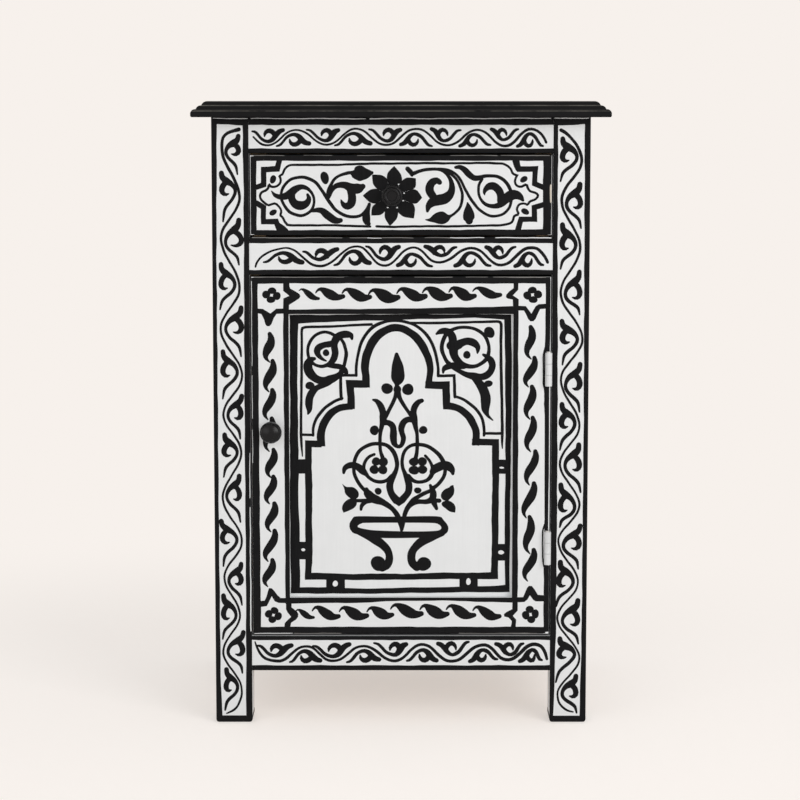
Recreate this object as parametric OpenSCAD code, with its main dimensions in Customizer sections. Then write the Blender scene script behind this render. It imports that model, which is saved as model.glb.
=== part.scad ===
// A painted wooden bedside cabinet. A moulded top rests on four square posts, which rails
// join with tenons. One drawer runs on a shelf above, and one framed and panelled door
// hangs below it on two butt hinges.
// The origin is on the floor under the middle of the whole cabinet, knobs included.
// The front faces -Y, and +X is to the right of someone who stands before the cabinet.

/* [Carcass] */
// Height from the floor to the top face
total_h = 640; // [560:1:760]
// Width over the posts
body_w = 382.6; // [330:0.1:480]
// Depth over the posts
body_d = 300; // [250:1:420]
// Width of a square post
post_w = 37.3; // [32:0.1:50]
// Radius of the eased edges of the posts
post_arris = 1.5; // [0.5:0.1:3]
// Radius of the rounded lower edges of the posts
foot_round = 4; // [2:0.1:8]
// Height of the clear space under the bottom rails
leg_clear = 55; // [20:1:110]
// Thickness of the rails between the posts
rail_t = 20; // [18:0.5:26]
// How far the rails lie behind the outer faces of the posts
rail_set = 1; // [0.5:0.1:3]
// Radius of the eased edges of the rails
rail_arris = 0.8; // [0.3:0.1:2]
// Height of the top rails
top_rail_h = 36; // [30:1:60]
// Height of the middle front rail, between drawer and door
mid_rail_h = 38; // [30:1:60]
// Height of the bottom rails
bottom_rail_h = 36.5; // [30:0.5:70]
// Height of the opening for the drawer
drawer_open_h = 85; // [70:1:120]

/* [Top] */
// Thickness of the top
top_t = 16; // [14:0.5:24]
// How far the top stands out past the posts at each side
top_side = 19.3; // [8:0.1:40]
// How far the top stands out past the posts in front
top_front = 22; // [8:1:40]
// Height of the lowest round of the moulded edge
edge_low_h = 8; // [5:0.1:9]
// Height of the middle round of the moulded edge
edge_mid_h = 3.8; // [3:0.1:5]
// How far each round lies inside the one below it
edge_step = 5.15; // [2:0.05:6]
// Radius of the lowest round
edge_low_r = 4.5; // [2:0.1:5]
// Radius of the middle round
edge_mid_r = 5; // [1:0.1:6]
// Radius of the uppermost round
edge_high_r = 6; // [1:0.1:7]
// Radius of the eased lower edge
edge_under_r = 1.6; // [0.5:0.1:2]

/* [Joints in the wood] */
// Thickness of the tenons
tenon_t = 8; // [6:0.5:10]
// Length of the tenons
tenon_l = 15; // [10:1:17]
// Width of the shoulder above and below each tenon
shoulder = 6; // [6:0.5:10]
// Room left at the bottom of each mortise
mortise_room = 1; // [0.5:0.1:3]
// Thickness of the side, back and door panels
panel_t = 6; // [4:0.5:7]
// Depth of the grooves that hold the panels
groove_d = 5.5; // [4:0.5:6]
// Room left at the edges of a panel in its grooves
panel_room = 0.5; // [0.2:0.1:1]
// How far the side and back panels lie behind the outer faces of the rails
panel_set = 7; // [5:0.5:7.5]

/* [Boards inside] */
// Thickness of the cabinet floor
floor_t = 12; // [9:0.5:18]
// How far the cabinet floor lies below the top edge of the bottom rails
floor_drop = 3.5; // [1:0.5:8]
// Thickness of the shelf that the drawer runs on
shelf_t = 10; // [8:0.5:15]
// Room left around the floor and the shelf
board_room = 0.5; // [0.2:0.1:1]
// Size of the square cleats under the floor
cleat = 12; // [10:0.5:16]
// Height of the bearers under the shelf
bearer_h = 30; // [20:1:50]
// Thickness of the bearers under the shelf
bearer_t = 18; // [12:1:20]
// Height of the strips that guide the drawer at its sides
guide_h = 20; // [12:1:30]
// Width of the strips that guide the drawer
guide_w = 15; // [10:1:24]
// Height of the strips that keep the pulled drawer level
kicker_h = 20; // [14:1:30]
// Size of the stop blocks behind the drawer, along, across and up
stop_block = 14; // [8:1:20]
// Distance of the stop blocks from the middle
stop_x = 105; // [60:1:110]
// Size of the blocks that fix the top to the rails
top_block = 18; // [12:1:24]
// Distance of those blocks from the middle
top_block_x = 80; // [40:1:100]

/* [Drawer] */
// Gap at each side of the drawer front and the door
gap_side = 1.5; // [1.5:0.1:3]
// Gap above the drawer front and the door
gap_top = 2; // [1:0.1:3]
// Gap below the drawer front and the door
gap_bottom = 2; // [1:0.1:3]
// Thickness of the drawer front
front_t = 20; // [16:0.5:22]
// Radius of the eased edges of the drawer front and the door
front_arris = 0.8; // [0.3:0.1:2]
// Thickness of the drawer sides and back
side_t = 12; // [9:0.5:15]
// Thickness of the drawer bottom
bottom_t = 4; // [3:0.5:6]
// How far the drawer sides reach into the back of the front
lap = 8; // [5:0.5:12]
// How far the drawer sides stand in from the ends of the front
side_inset = 2.5; // [1.5:0.1:5]
// Depth of the grooves that hold the drawer bottom
bottom_groove = 5; // [3:0.5:6]
// Height of the drawer bottom above the lower edge of the sides
bottom_lift = 7; // [5:0.5:12]
// How far the drawer sides are lower than the top of the front
side_drop = 6; // [3:0.5:12]
// How far the drawer back is lower than the sides
back_drop = 4; // [0:0.5:12]
// Room between the back of the drawer and the back rail
back_room = 20; // [16:1:40]
// Running gap under the drawer sides, and from their outer faces to the guides
run_gap = 0.3; // [0.2:0.1:0.5]
// Gap above the drawer sides, under the kickers
kicker_gap = 2; // [1:0.1:3]

/* [Door] */
// Width of the stiles and rails of the door
frame_w = 38; // [32:1:48]
// Thickness of the door frame
door_t = 20; // [18:0.5:22]
// How far the door panel lies behind the face of its frame
door_panel_set = 8; // [6:0.5:8]
// Width of the stop strip that the door shuts against
stop_w = 10; // [6:0.5:12]
// Gap between the shut door and the stop strip
stop_gap = 0.3; // [0.2:0.1:0.5]
// Height of the magnetic catch
catch_h = 40; // [25:1:60]
// Width of the magnetic catch
catch_w = 12; // [8:0.5:16]
// Height of the middle of the catch above the floor
catch_z = 240; // [200:1:265]
// Thickness of the steel plate let into the back of the door
plate_t = 1.2; // [1:0.1:2]
// Height of that plate
plate_h = 30; // [20:1:40]
// Width of that plate
plate_w = 10; // [6:0.5:12]

/* [Hinges] */
// Height of each hinge
hinge_h = 34; // [25:1:50]
// Height of the middle of the lower hinge above the floor
hinge_low_z = 184; // [150:1:220]
// Height of the middle of the upper hinge above the floor
hinge_high_z = 368.5; // [330:1:400]
// Outer radius of the knuckles
knuckle_r = 3.5; // [3:0.1:4]
// Radius of the hinge pin
pin_r = 1.5; // [1:0.1:2]
// Running gap round the pin
pin_gap = 0.05; // [0.02:0.01:0.1]
// Thickness of the leaves
leaf_t = 1; // [0.8:0.1:1.2]
// Length of the leaves behind the face of the door
leaf_w = 15; // [10:1:17]
// Gap between knuckles, between leaves, and between the barrel and the door
hinge_gap = 0.3; // [0.2:0.05:0.4]
// Radius of the head of the hinge pin
pin_head_r = 2.6; // [2.2:0.1:3]
// Height of the head of the hinge pin
pin_head_h = 1.4; // [1:0.1:2]

/* [Knobs] */
// How far the knobs stand out from the wood
knob_l = 23; // [18:0.5:30]
// Radius of the round door knob
ball_r = 11.1; // [8:0.1:11.4]
// How far the front of the ball is flattened
ball_flat = 1.8; // [0.5:0.1:3]
// Radius of the low dome on its front
dome_r = 18; // [14:0.5:30]
// Radius of the neck behind the door knob
neck_r = 5; // [3.5:0.1:6]
// Radius of the foot of both knobs
foot_r = 7.5; // [6:0.1:10]
// Thickness of the foot of both knobs
foot_t = 2; // [1.5:0.1:3]
// Outer radius of the drawer knob
disc_r = 10.7; // [10:0.1:14]
// Radius of the bead round the drawer knob
bead_r = 2; // [1.5:0.1:3]
// Radius of the boss in the middle of the drawer knob
boss_r = 7.9; // [7:0.1:9]
// How far the boss stands out from the bead
boss_l = 5.5; // [4:0.1:7]
// Radius of the bead round the boss
boss_bead_r = 1.5; // [1:0.1:2]
// Place of the drawer knob to the right of the middle
drawer_knob_x = -9; // [-60:1:60]
// Height of the door knob above the floor
door_knob_z = 305; // [285:1:330]
// Distance of the door knob from the free edge of the door
door_knob_in = 20; // [16:0.5:24]
// Radius of the screws that hold the knobs
screw_r = 2; // [1.5:0.1:2.5]
// Radius of the heads of those screws
screw_head_r = 4; // [3:0.1:5]
// Thickness of the heads of those screws
screw_head_t = 2.2; // [1.5:0.1:3]
// How far the screws reach into the knobs
screw_in = 11; // [8:0.5:14]
// Gap between a screw and its hole
screw_gap = 0.05; // [0.02:0.01:0.1]

/* [Hidden] */

// True circles everywhere
$fn = 48;
// Small overlap that makes cuts clean
cut = 0.5;
LEFT = -1;
RIGHT = 1;
FRONT = -1;
BACK = 1;

// The front edge of the top or the tips of the knobs, whichever reach further
front_reach = max(top_front, knob_l - rail_set);
y_front = (front_reach - body_d) / 2;
y_back = y_front + body_d;
// Clear half width between the posts
half_open = body_w / 2 - post_w;
// Inner faces of the posts, front and back
y_post_front = y_front + post_w;
y_post_back = y_back - post_w;

// Heights of the rails' edges
z_under_top = total_h - top_t;
z_top_rail = z_under_top - top_rail_h;
z_drawer_open = z_top_rail - drawer_open_h;
z_mid_rail = z_drawer_open - mid_rail_h;
z_door_open = leg_clear + bottom_rail_h;

// Middle planes of the rails and inner faces of the front, back and side rails
rail_in = rail_set + rail_t / 2;
y_rail_front = y_front + rail_set + rail_t;
y_rail_back = y_back - rail_set - rail_t;
x_rail = body_w / 2 - rail_set - rail_t;
// Middle of a panel, measured inward from the outer face of the posts
panel_in = rail_set + panel_set + panel_t / 2;
x_panel = body_w / 2 - panel_in - panel_t / 2;
y_panel_back = y_back - panel_in - panel_t / 2;

// Cabinet floor and drawer shelf
z_floor = z_door_open - floor_drop;
z_shelf = z_drawer_open - shelf_t;

// Drawer
y_face = y_front + rail_set;
y_face_back = y_face + front_t;
drawer_half = half_open - gap_side;
side_out = drawer_half - side_inset;
side_in = side_out - side_t;
y_drawer_back = y_rail_back - back_room;
z_drawer_low = z_drawer_open + gap_bottom;
z_drawer_high = z_top_rail - gap_top;
z_side_low = z_drawer_open + run_gap;
z_side_high = z_drawer_high - side_drop;
z_bottom = z_side_low + bottom_lift;
z_drawer_knob = (z_drawer_low + z_drawer_high) / 2;

// Door
z_door_low = z_door_open + gap_bottom;
z_door_high = z_mid_rail - gap_top;
y_door_back = y_face + door_t;
door_in = drawer_half - frame_w;
y_door_panel = y_face + door_panel_set + panel_t / 2;
door_knob_x = -(drawer_half - door_knob_in);
stop_y = y_door_back + stop_gap;

// Hinge axis: the barrel touches the line of the post's inner face, in front of the door
hinge_x = half_open - knuckle_r;
hinge_y = y_face - knuckle_r - hinge_gap;
knuckle_h = (hinge_h - 2 * hinge_gap) / 3;
// Inner faces of the leaf on the post and of the leaf on the door
post_leaf_x = half_open - leaf_t;
door_leaf_x = post_leaf_x - hinge_gap - leaf_t;

// A box from one corner to the other
module block(low, high) {
    translate(low) cube(high - low);
}

// A rectangle in the middle, with round corners
module eased_square(w, h, r) {
    square([w - 2 * r, h], center = true);
    square([w, h - 2 * r], center = true);
    for (x = [-1, 1], y = [-1, 1])
        translate([x * (w / 2 - r), y * (h / 2 - r)]) circle(r);
}

// A board lying along X, with its four long edges eased
module bar_x(x0, x1, y_mid, z_mid, t, h, r) {
    translate([x0, y_mid, z_mid]) rotate([90, 0, 90])
        linear_extrude(x1 - x0) eased_square(t, h, r);
}

// The two tenons of a rail along X, and with room the two mortises for them
module tenons_x(half, y_mid, z0, z1, room = 0) {
    for (side = [LEFT, RIGHT])
        block([min(side * half, side * (half + tenon_l + room)), y_mid - tenon_t / 2, z0 + shoulder],
            [max(side * half, side * (half + tenon_l + room)), y_mid + tenon_t / 2, z1 - shoulder]);
}

// The two tenons of a rail along Y, between the posts
module tenons_y(x_mid, z0, z1, room = 0) {
    block([x_mid - tenon_t / 2, y_post_front - tenon_l - room, z0 + shoulder],
        [x_mid + tenon_t / 2, y_post_front, z1 - shoulder]);
    block([x_mid - tenon_t / 2, y_post_back, z0 + shoulder],
        [x_mid + tenon_t / 2, y_post_back + tenon_l + room, z1 - shoulder]);
}

// The panels that close the sides and the back, as thick as their grooves. With room 0 this
// is the space that the grooves take, and with room they are the panels themselves.
module side_panel_space(side, room) {
    x_mid = side * (body_w / 2 - panel_in);
    block([x_mid - panel_t / 2, y_post_front - groove_d + room, z_door_open - groove_d + room],
        [x_mid + panel_t / 2, y_post_back + groove_d - room, z_top_rail + groove_d - room]);
}

module back_panel_space(room) {
    y_mid = y_back - panel_in;
    block([-half_open - groove_d + room, y_mid - panel_t / 2, z_door_open - groove_d + room],
        [half_open + groove_d - room, y_mid + panel_t / 2, z_top_rail + groove_d - room]);
}

module door_panel_space(room) {
    block([-door_in - groove_d + room, y_door_panel - panel_t / 2,
            z_door_low + frame_w - groove_d + room],
        [door_in + groove_d - room, y_door_panel + panel_t / 2,
            z_door_high - frame_w + groove_d - room]);
}

// One round of the moulded edge: a slab with its upper long edges rounded. A radius above the
// height of the slab gives a round that ends before it is upright.
module round_step(half, h, r) {
    below = max(0, r - h);
    x_round = half - sqrt(r * r - below * below);
    translate([-x_round, 0]) square([2 * x_round, h]);
    if (r < h)
        translate([-half, 0]) square([2 * half, h - r]);
    for (x = [-x_round, x_round])
        intersection() {
            translate([x, h - r]) circle(r);
            translate([-half, 0]) square([2 * half, h]);
        }
}

// Section through the top: three rounds, each inside the one below it
module top_section(half) {
    high_h = top_t - edge_low_h - edge_mid_h;
    side_h = edge_low_h - edge_under_r;
    under = half - edge_under_r;
    translate([-under, 0]) square([2 * under, side_h]);
    for (x = [-under, under])
        translate([x, edge_under_r]) circle(edge_under_r);
    translate([0, edge_under_r]) round_step(half, side_h, min(edge_low_r, side_h));
    translate([0, edge_low_h]) round_step(half - edge_step, edge_mid_h, edge_mid_r);
    translate([0, edge_low_h + edge_mid_h])
        round_step(half - 2 * edge_step, high_h, edge_high_r);
}

// The top, moulded along the front and the sides, mitred at the corners, square behind
module top() {
    x_half = body_w / 2 + top_side;
    y_low = y_front - top_front;
    edge_run = 2 * edge_step + edge_high_r;
    y_half = (y_back - y_low + edge_run) / 2;
    color("#1d1d1f") intersection() {
        translate([0, y_back, z_under_top]) rotate([90, 0, 0])
            linear_extrude(y_back - y_low) top_section(x_half);
        translate([-x_half, y_low + y_half, z_under_top]) rotate([90, 0, 90])
            linear_extrude(2 * x_half) top_section(y_half);
    }
}

// The rails' lower and upper edges, on the front and on the other three sides
FRONT_RAILS = [
    [z_top_rail, z_under_top],
    [z_mid_rail, z_drawer_open],
    [leg_clear, z_door_open],
];
OUTER_RAILS = [FRONT_RAILS[0], FRONT_RAILS[2]];

// Outline of a post from one side, with its lower corners rounded
module post_outline() {
    middle = post_w / 2 - foot_round;
    translate([-post_w / 2, foot_round]) square([post_w, z_under_top - foot_round]);
    translate([-middle, 0]) square([2 * middle, foot_round]);
    for (x = [-middle, middle])
        intersection() {
            translate([x, foot_round]) circle(foot_round);
            translate([-post_w / 2, 0]) square([post_w, foot_round]);
        }
}

// A square post before it is cut, with all four lower edges rounded
module post_blank() {
    intersection() {
        linear_extrude(z_under_top) eased_square(post_w, post_w, post_arris);
        translate([0, post_w / 2, 0]) rotate([90, 0, 0]) linear_extrude(post_w) post_outline();
        translate([-post_w / 2, 0, 0]) rotate([90, 0, 90]) linear_extrude(post_w) post_outline();
    }
}

// A post with its mortises and the grooves for its panels
module post(side, end) {
    x_mid = side * (body_w - post_w) / 2;
    y_mid = end == FRONT ? y_front + post_w / 2 : y_back - post_w / 2;
    y_rails = end == FRONT ? y_front + rail_in : y_back - rail_in;
    color("whitesmoke") difference() {
        translate([x_mid, y_mid, 0]) post_blank();
        for (z = end == FRONT ? FRONT_RAILS : OUTER_RAILS)
            tenons_x(half_open, y_rails, z[0], z[1], mortise_room);
        for (z = OUTER_RAILS)
            tenons_y(side * (body_w / 2 - rail_in), z[0], z[1], mortise_room);
        side_panel_space(side, 0);
        if (end == BACK) back_panel_space(0);
    }
}

module post_front_left() { post(LEFT, FRONT); }
module post_front_right() { post(RIGHT, FRONT); }
module post_back_left() { post(LEFT, BACK); }
module post_back_right() { post(RIGHT, BACK); }

// A rail between two posts, left to right
module rail_x(y_mid, z) {
    bar_x(-half_open, half_open, y_mid, (z[0] + z[1]) / 2, rail_t, z[1] - z[0], rail_arris);
    tenons_x(half_open, y_mid, z[0], z[1]);
}

module rail_front(z) {
    color("whitesmoke") rail_x(y_front + rail_in, z);
}

module rail_front_top() { rail_front(FRONT_RAILS[0]); }
module rail_front_middle() { rail_front(FRONT_RAILS[1]); }
module rail_front_bottom() { rail_front(FRONT_RAILS[2]); }

// A back rail, grooved for the back panel
module rail_back(z) {
    color("whitesmoke") difference() {
        rail_x(y_back - rail_in, z);
        back_panel_space(0);
    }
}

module rail_back_top() { rail_back(OUTER_RAILS[0]); }
module rail_back_bottom() { rail_back(OUTER_RAILS[1]); }

// A side rail, front to back, grooved for the side panel
module rail_side(side, z) {
    x_mid = side * (body_w / 2 - rail_in);
    color("whitesmoke") difference() {
        union() {
            translate([x_mid, y_post_back, (z[0] + z[1]) / 2]) rotate([90, 0, 0])
                linear_extrude(y_post_back - y_post_front)
                    eased_square(rail_t, z[1] - z[0], rail_arris);
            tenons_y(x_mid, z[0], z[1]);
        }
        side_panel_space(side, 0);
    }
}

module rail_left_top() { rail_side(LEFT, OUTER_RAILS[0]); }
module rail_left_bottom() { rail_side(LEFT, OUTER_RAILS[1]); }
module rail_right_top() { rail_side(RIGHT, OUTER_RAILS[0]); }
module rail_right_bottom() { rail_side(RIGHT, OUTER_RAILS[1]); }

module panel_left() { color("whitesmoke") side_panel_space(LEFT, panel_room); }
module panel_right() { color("whitesmoke") side_panel_space(RIGHT, panel_room); }
module panel_back() { color("burlywood") back_panel_space(panel_room); }

// A board notched round the four posts
module notched_board(x_half, y0, y1, z_top, t) {
    notch_x = half_open - board_room;
    difference() {
        block([-x_half, y0, z_top - t], [x_half, y1, z_top]);
        for (side = [LEFT, RIGHT]) {
            x0 = side == LEFT ? -x_half - cut : notch_x;
            x1 = side == LEFT ? -notch_x : x_half + cut;
            block([x0, y0 - cut, z_top - t - cut], [x1, y_post_front + board_room, z_top + cut]);
            block([x0, y_post_back - board_room, z_top - t - cut], [x1, y1 + cut, z_top + cut]);
        }
    }
}

module cabinet_floor() {
    color("burlywood") notched_board(x_rail - board_room, y_rail_front + board_room,
        y_rail_back - board_room, z_floor, floor_t);
}

module drawer_shelf() {
    color("burlywood") notched_board(x_panel - board_room, y_rail_front + board_room,
        y_panel_back - board_room, z_drawer_open, shelf_t);
}

// A pair of strips between the front and back posts, one on each side
module side_strips(x0, x1, z0, z1) {
    for (side = [LEFT, RIGHT])
        block([min(side * x0, side * x1), y_post_front, z0],
            [max(side * x0, side * x1), y_post_back, z1]);
}

module floor_cleats() {
    color("burlywood") side_strips(x_rail - cleat, x_rail, z_floor - floor_t - cleat, z_floor - floor_t);
}

module shelf_bearers() {
    x_out = x_panel - board_room;
    color("burlywood") side_strips(x_out - bearer_t, x_out, z_shelf - bearer_h, z_shelf);
}

module drawer_guides() {
    x_in = side_out + run_gap;
    color("burlywood") side_strips(x_in, x_in + guide_w, z_drawer_open, z_drawer_open + guide_h);
}

module drawer_kickers() {
    z_low = z_side_high + kicker_gap;
    color("burlywood") side_strips(side_in, x_rail, z_low, z_low + kicker_h);
}

module drawer_stops() {
    y_low = y_drawer_back + stop_gap;
    color("burlywood") for (side = [LEFT, RIGHT])
        block([side * stop_x - stop_block / 2, y_low, z_drawer_open],
            [side * stop_x + stop_block / 2, y_low + stop_block, z_drawer_open + stop_block]);
}

module top_blocks() {
    color("burlywood") for (side = [LEFT, RIGHT], y = [y_rail_front, y_rail_back - top_block])
        block([side * top_block_x - top_block / 2, y, z_under_top - top_block],
            [side * top_block_x + top_block / 2, y + top_block, z_under_top]);
}

// The strip on the left post that the door shuts against
module door_stop() {
    color("burlywood") block([-half_open, stop_y, z_floor], [stop_w - half_open, y_post_front, z_shelf]);
}

// The magnetic catch beside the stop strip, with a groove between its two poles
module door_catch() {
    x0 = stop_w - half_open;
    pole = catch_w / 4;
    color("#b9b4a8") difference() {
        block([x0, stop_y, catch_z - catch_h / 2], [x0 + catch_w, y_post_front, catch_z + catch_h / 2]);
        block([x0 + pole, stop_y - cut, catch_z - plate_h / 2],
            [x0 + catch_w - pole, stop_y + cut, catch_z + plate_h / 2]);
    }
}

// The space of the steel plate let into the back of the door, in front of the catch
module plate_space(spare = 0) {
    x_mid = stop_w + catch_w / 2 - half_open;
    block([x_mid - plate_w / 2, y_door_back - plate_t, catch_z - plate_h / 2],
        [x_mid + plate_w / 2, y_door_back + spare, catch_z + plate_h / 2]);
}

module door_catch_plate() { color("silver") plate_space(); }

// The hinges. Each leaf carries its own knuckles: two on the post, one between on the door.
module knuckles(z_mid, numbers, leaf_x) {
    for (k = numbers) {
        z0 = z_mid - hinge_h / 2 + k * (knuckle_h + hinge_gap);
        translate([hinge_x, hinge_y, z0]) cylinder(r = knuckle_r, h = knuckle_h);
        block([leaf_x, hinge_y, z0], [leaf_x + leaf_t, y_face + cut, z0 + knuckle_h]);
    }
}

// The plate of a leaf: the space it needs in the edge of the door is the same
module leaf_plate(z_mid, leaf_x, spare = 0) {
    block([leaf_x, y_face - spare, z_mid - hinge_h / 2],
        [leaf_x + leaf_t + spare, y_face + leaf_w, z_mid + hinge_h / 2]);
}

module hinge_leaf(z_mid, numbers, leaf_x) {
    color("whitesmoke") difference() {
        union() {
            knuckles(z_mid, numbers, leaf_x);
            leaf_plate(z_mid, leaf_x);
        }
        translate([hinge_x, hinge_y, z_mid - hinge_h / 2 - cut])
            cylinder(r = pin_r + pin_gap, h = hinge_h + 2 * cut);
    }
}

module hinge_upper_post_leaf() { hinge_leaf(hinge_high_z, [0, 2], post_leaf_x); }
module hinge_lower_post_leaf() { hinge_leaf(hinge_low_z, [0, 2], post_leaf_x); }
module hinge_upper_door_leaf() { hinge_leaf(hinge_high_z, [1], door_leaf_x); }
module hinge_lower_door_leaf() { hinge_leaf(hinge_low_z, [1], door_leaf_x); }

// A pin whose head rests on the highest knuckle
module hinge_pin(z_mid) {
    color("whitesmoke") translate([hinge_x, hinge_y, z_mid]) {
        translate([0, 0, -hinge_h / 2]) cylinder(r = pin_r, h = hinge_h);
        translate([0, 0, hinge_h / 2]) cylinder(r = pin_head_r, h = pin_head_h);
    }
}

module hinge_upper_pin() { hinge_pin(hinge_high_z); }
module hinge_lower_pin() { hinge_pin(hinge_low_z); }

// A piece turned on an axis that points out of the front
module turned_at(x, y, z) {
    translate([x, y, z]) rotate([90, 0, 0]) rotate_extrude() children();
}

// The hole of a knob's screw, through the wood and into the knob
module screw_hole(x, y_back_face, z) {
    reach = y_back_face - y_face + screw_in;
    translate([x, y_back_face + cut, z]) rotate([90, 0, 0])
        cylinder(r = screw_r + screw_gap, h = reach + 2 * cut);
}

// A screw with a round head and a cross slot, from behind the wood into a knob
module knob_screw(x, y_back_face, z) {
    slot = screw_head_r / 4;
    edge = screw_head_t / 2;
    reach = y_back_face - y_face + screw_in;
    color("silver") difference() {
        union() {
            translate([x, y_back_face, z]) rotate([90, 0, 0]) cylinder(r = screw_r, h = reach);
            translate([x, y_back_face, z]) rotate([-90, 0, 0]) rotate_extrude() {
                square([screw_head_r, screw_head_t - edge]);
                square([screw_head_r - edge, screw_head_t]);
                translate([screw_head_r - edge, screw_head_t - edge]) circle(edge);
            }
        }
        for (turn = [0, 90])
            translate([x, y_back_face + screw_head_t, z]) rotate([0, turn, 0])
                cube([screw_head_r, edge, slot], center = true);
    }
}

// The foot and the neck that both knobs stand on
module knob_foot(neck, neck_l) {
    square([foot_r - foot_t / 2, foot_t]);
    translate([foot_r - foot_t / 2, foot_t / 2]) circle(foot_t / 2);
    square([neck, neck_l]);
}

// The door knob: a ball whose front is turned down to a low dome
module door_knob() {
    ball_y = knob_l - ball_r + ball_flat;
    color("#151515") difference() {
        turned_at(door_knob_x, y_face, door_knob_z) {
            knob_foot(neck_r, ball_y);
            intersection() {
                translate([0, ball_y]) circle(ball_r);
                translate([0, knob_l - dome_r]) circle(dome_r);
                translate([0, ball_y - ball_r]) square([ball_r, 2 * ball_r]);
            }
        }
        screw_hole(door_knob_x, y_door_back, door_knob_z);
    }
}

// The drawer knob: a disc with a bead at its rim, and on it a boss with a bead round a hollow
module drawer_knob() {
    bead_y = knob_l - boss_l - bead_r;
    bead_x = disc_r - bead_r;
    boss_y = knob_l - boss_bead_r;
    boss_x = boss_r - boss_bead_r;
    color("#151515") difference() {
        turned_at(drawer_knob_x, y_face, z_drawer_knob) {
            knob_foot(neck_r, bead_y);
            polygon([[0, bead_y - 2 * bead_r], [neck_r, bead_y - 2 * bead_r],
                [bead_x, bead_y - bead_r / 2], [bead_x, bead_y + bead_r / 2],
                [boss_x, boss_y], [0, boss_y]]);
            translate([bead_x, bead_y]) circle(bead_r);
            translate([boss_x, boss_y]) circle(boss_bead_r);
        }
        screw_hole(drawer_knob_x, y_face_back, z_drawer_knob);
    }
}

module door_knob_screw() { knob_screw(door_knob_x, y_door_back, door_knob_z); }
module drawer_knob_screw() { knob_screw(drawer_knob_x, y_face_back, z_drawer_knob); }

// The drawer front: its ends are cut back behind for the sides, and it is grooved for the bottom
module drawer_front() {
    color("whitesmoke") difference() {
        bar_x(-drawer_half, drawer_half, y_face + front_t / 2, z_drawer_knob,
            front_t, z_drawer_high - z_drawer_low, front_arris);
        for (side = [LEFT, RIGHT])
            block([side == LEFT ? -drawer_half - cut : side_in, y_face_back - lap, z_drawer_low - cut],
                [side == LEFT ? -side_in : drawer_half + cut, y_face_back + cut, z_drawer_high + cut]);
        block([-side_in - cut, y_face_back - bottom_groove, z_bottom],
            [side_in + cut, y_face_back + cut, z_bottom + bottom_t]);
        screw_hole(drawer_knob_x, y_face_back, z_drawer_knob);
    }
}

// A drawer side, grooved for the bottom
module drawer_side(side) {
    inner = side * side_in;
    outer = side * side_out;
    groove = side * (side_in + bottom_groove);
    color("burlywood") difference() {
        block([min(inner, outer), y_face_back - lap, z_side_low],
            [max(inner, outer), y_drawer_back, z_side_high]);
        block([min(inner - side * cut, groove), y_face_back - lap - cut, z_bottom],
            [max(inner - side * cut, groove), y_drawer_back + cut, z_bottom + bottom_t]);
    }
}

module drawer_side_left() { drawer_side(LEFT); }
module drawer_side_right() { drawer_side(RIGHT); }

module drawer_back() {
    color("burlywood") block([-side_in, y_drawer_back - side_t, z_bottom + bottom_t],
        [side_in, y_drawer_back, z_side_high - back_drop]);
}

// The bottom slides into its grooves from behind, under the back
module drawer_bottom() {
    x_half = side_in + bottom_groove - panel_room;
    color("burlywood") block([-x_half, y_face_back - bottom_groove + panel_room, z_bottom],
        [x_half, y_drawer_back, z_bottom + bottom_t]);
}

// Section through a door frame member: its outer edges, on the left here, are eased
module frame_section() {
    eased_square(frame_w, door_t, front_arris);
    translate([0, -door_t / 2]) square([frame_w / 2, door_t]);
}

module door_tenons(room = 0) {
    y_mid = y_face + door_t / 2;
    tenons_x(door_in, y_mid, z_door_low, z_door_low + frame_w, room);
    tenons_x(door_in, y_mid, z_door_high - frame_w, z_door_high, room);
}

// A stile of the door: side -1 is the knob's, side 1 is the hinges'
module door_stile(side) {
    difference() {
        translate([side * (drawer_half - frame_w / 2), y_face + door_t / 2, z_door_low])
            mirror([side == LEFT ? 0 : 1, 0, 0])
                linear_extrude(z_door_high - z_door_low) frame_section();
        door_tenons(mortise_room);
        door_panel_space(0);
    }
}

module door_stile_knob() {
    color("whitesmoke") difference() {
        door_stile(LEFT);
        screw_hole(door_knob_x, y_door_back, door_knob_z);
        plate_space(cut);
    }
}

module door_stile_hinge() {
    color("whitesmoke") difference() {
        door_stile(RIGHT);
        for (z_mid = [hinge_low_z, hinge_high_z])
            leaf_plate(z_mid, door_leaf_x, cut);
    }
}

// A rail of the door, with its eased edge outward: up on the upper rail, down on the lower
module door_rail(z0, up) {
    y_mid = y_face + door_t / 2;
    color("whitesmoke") difference() {
        union() {
            translate([-door_in, y_mid, z0 + frame_w / 2]) rotate([90, 0, 90])
                linear_extrude(2 * door_in) rotate(up ? -90 : 90) frame_section();
            tenons_x(door_in, y_mid, z0, z0 + frame_w);
        }
        door_panel_space(0);
    }
}

module door_rail_top() { door_rail(z_door_high - frame_w, true); }
module door_rail_bottom() { door_rail(z_door_low, false); }
module door_panel() { color("whitesmoke") door_panel_space(panel_room); }

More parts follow.
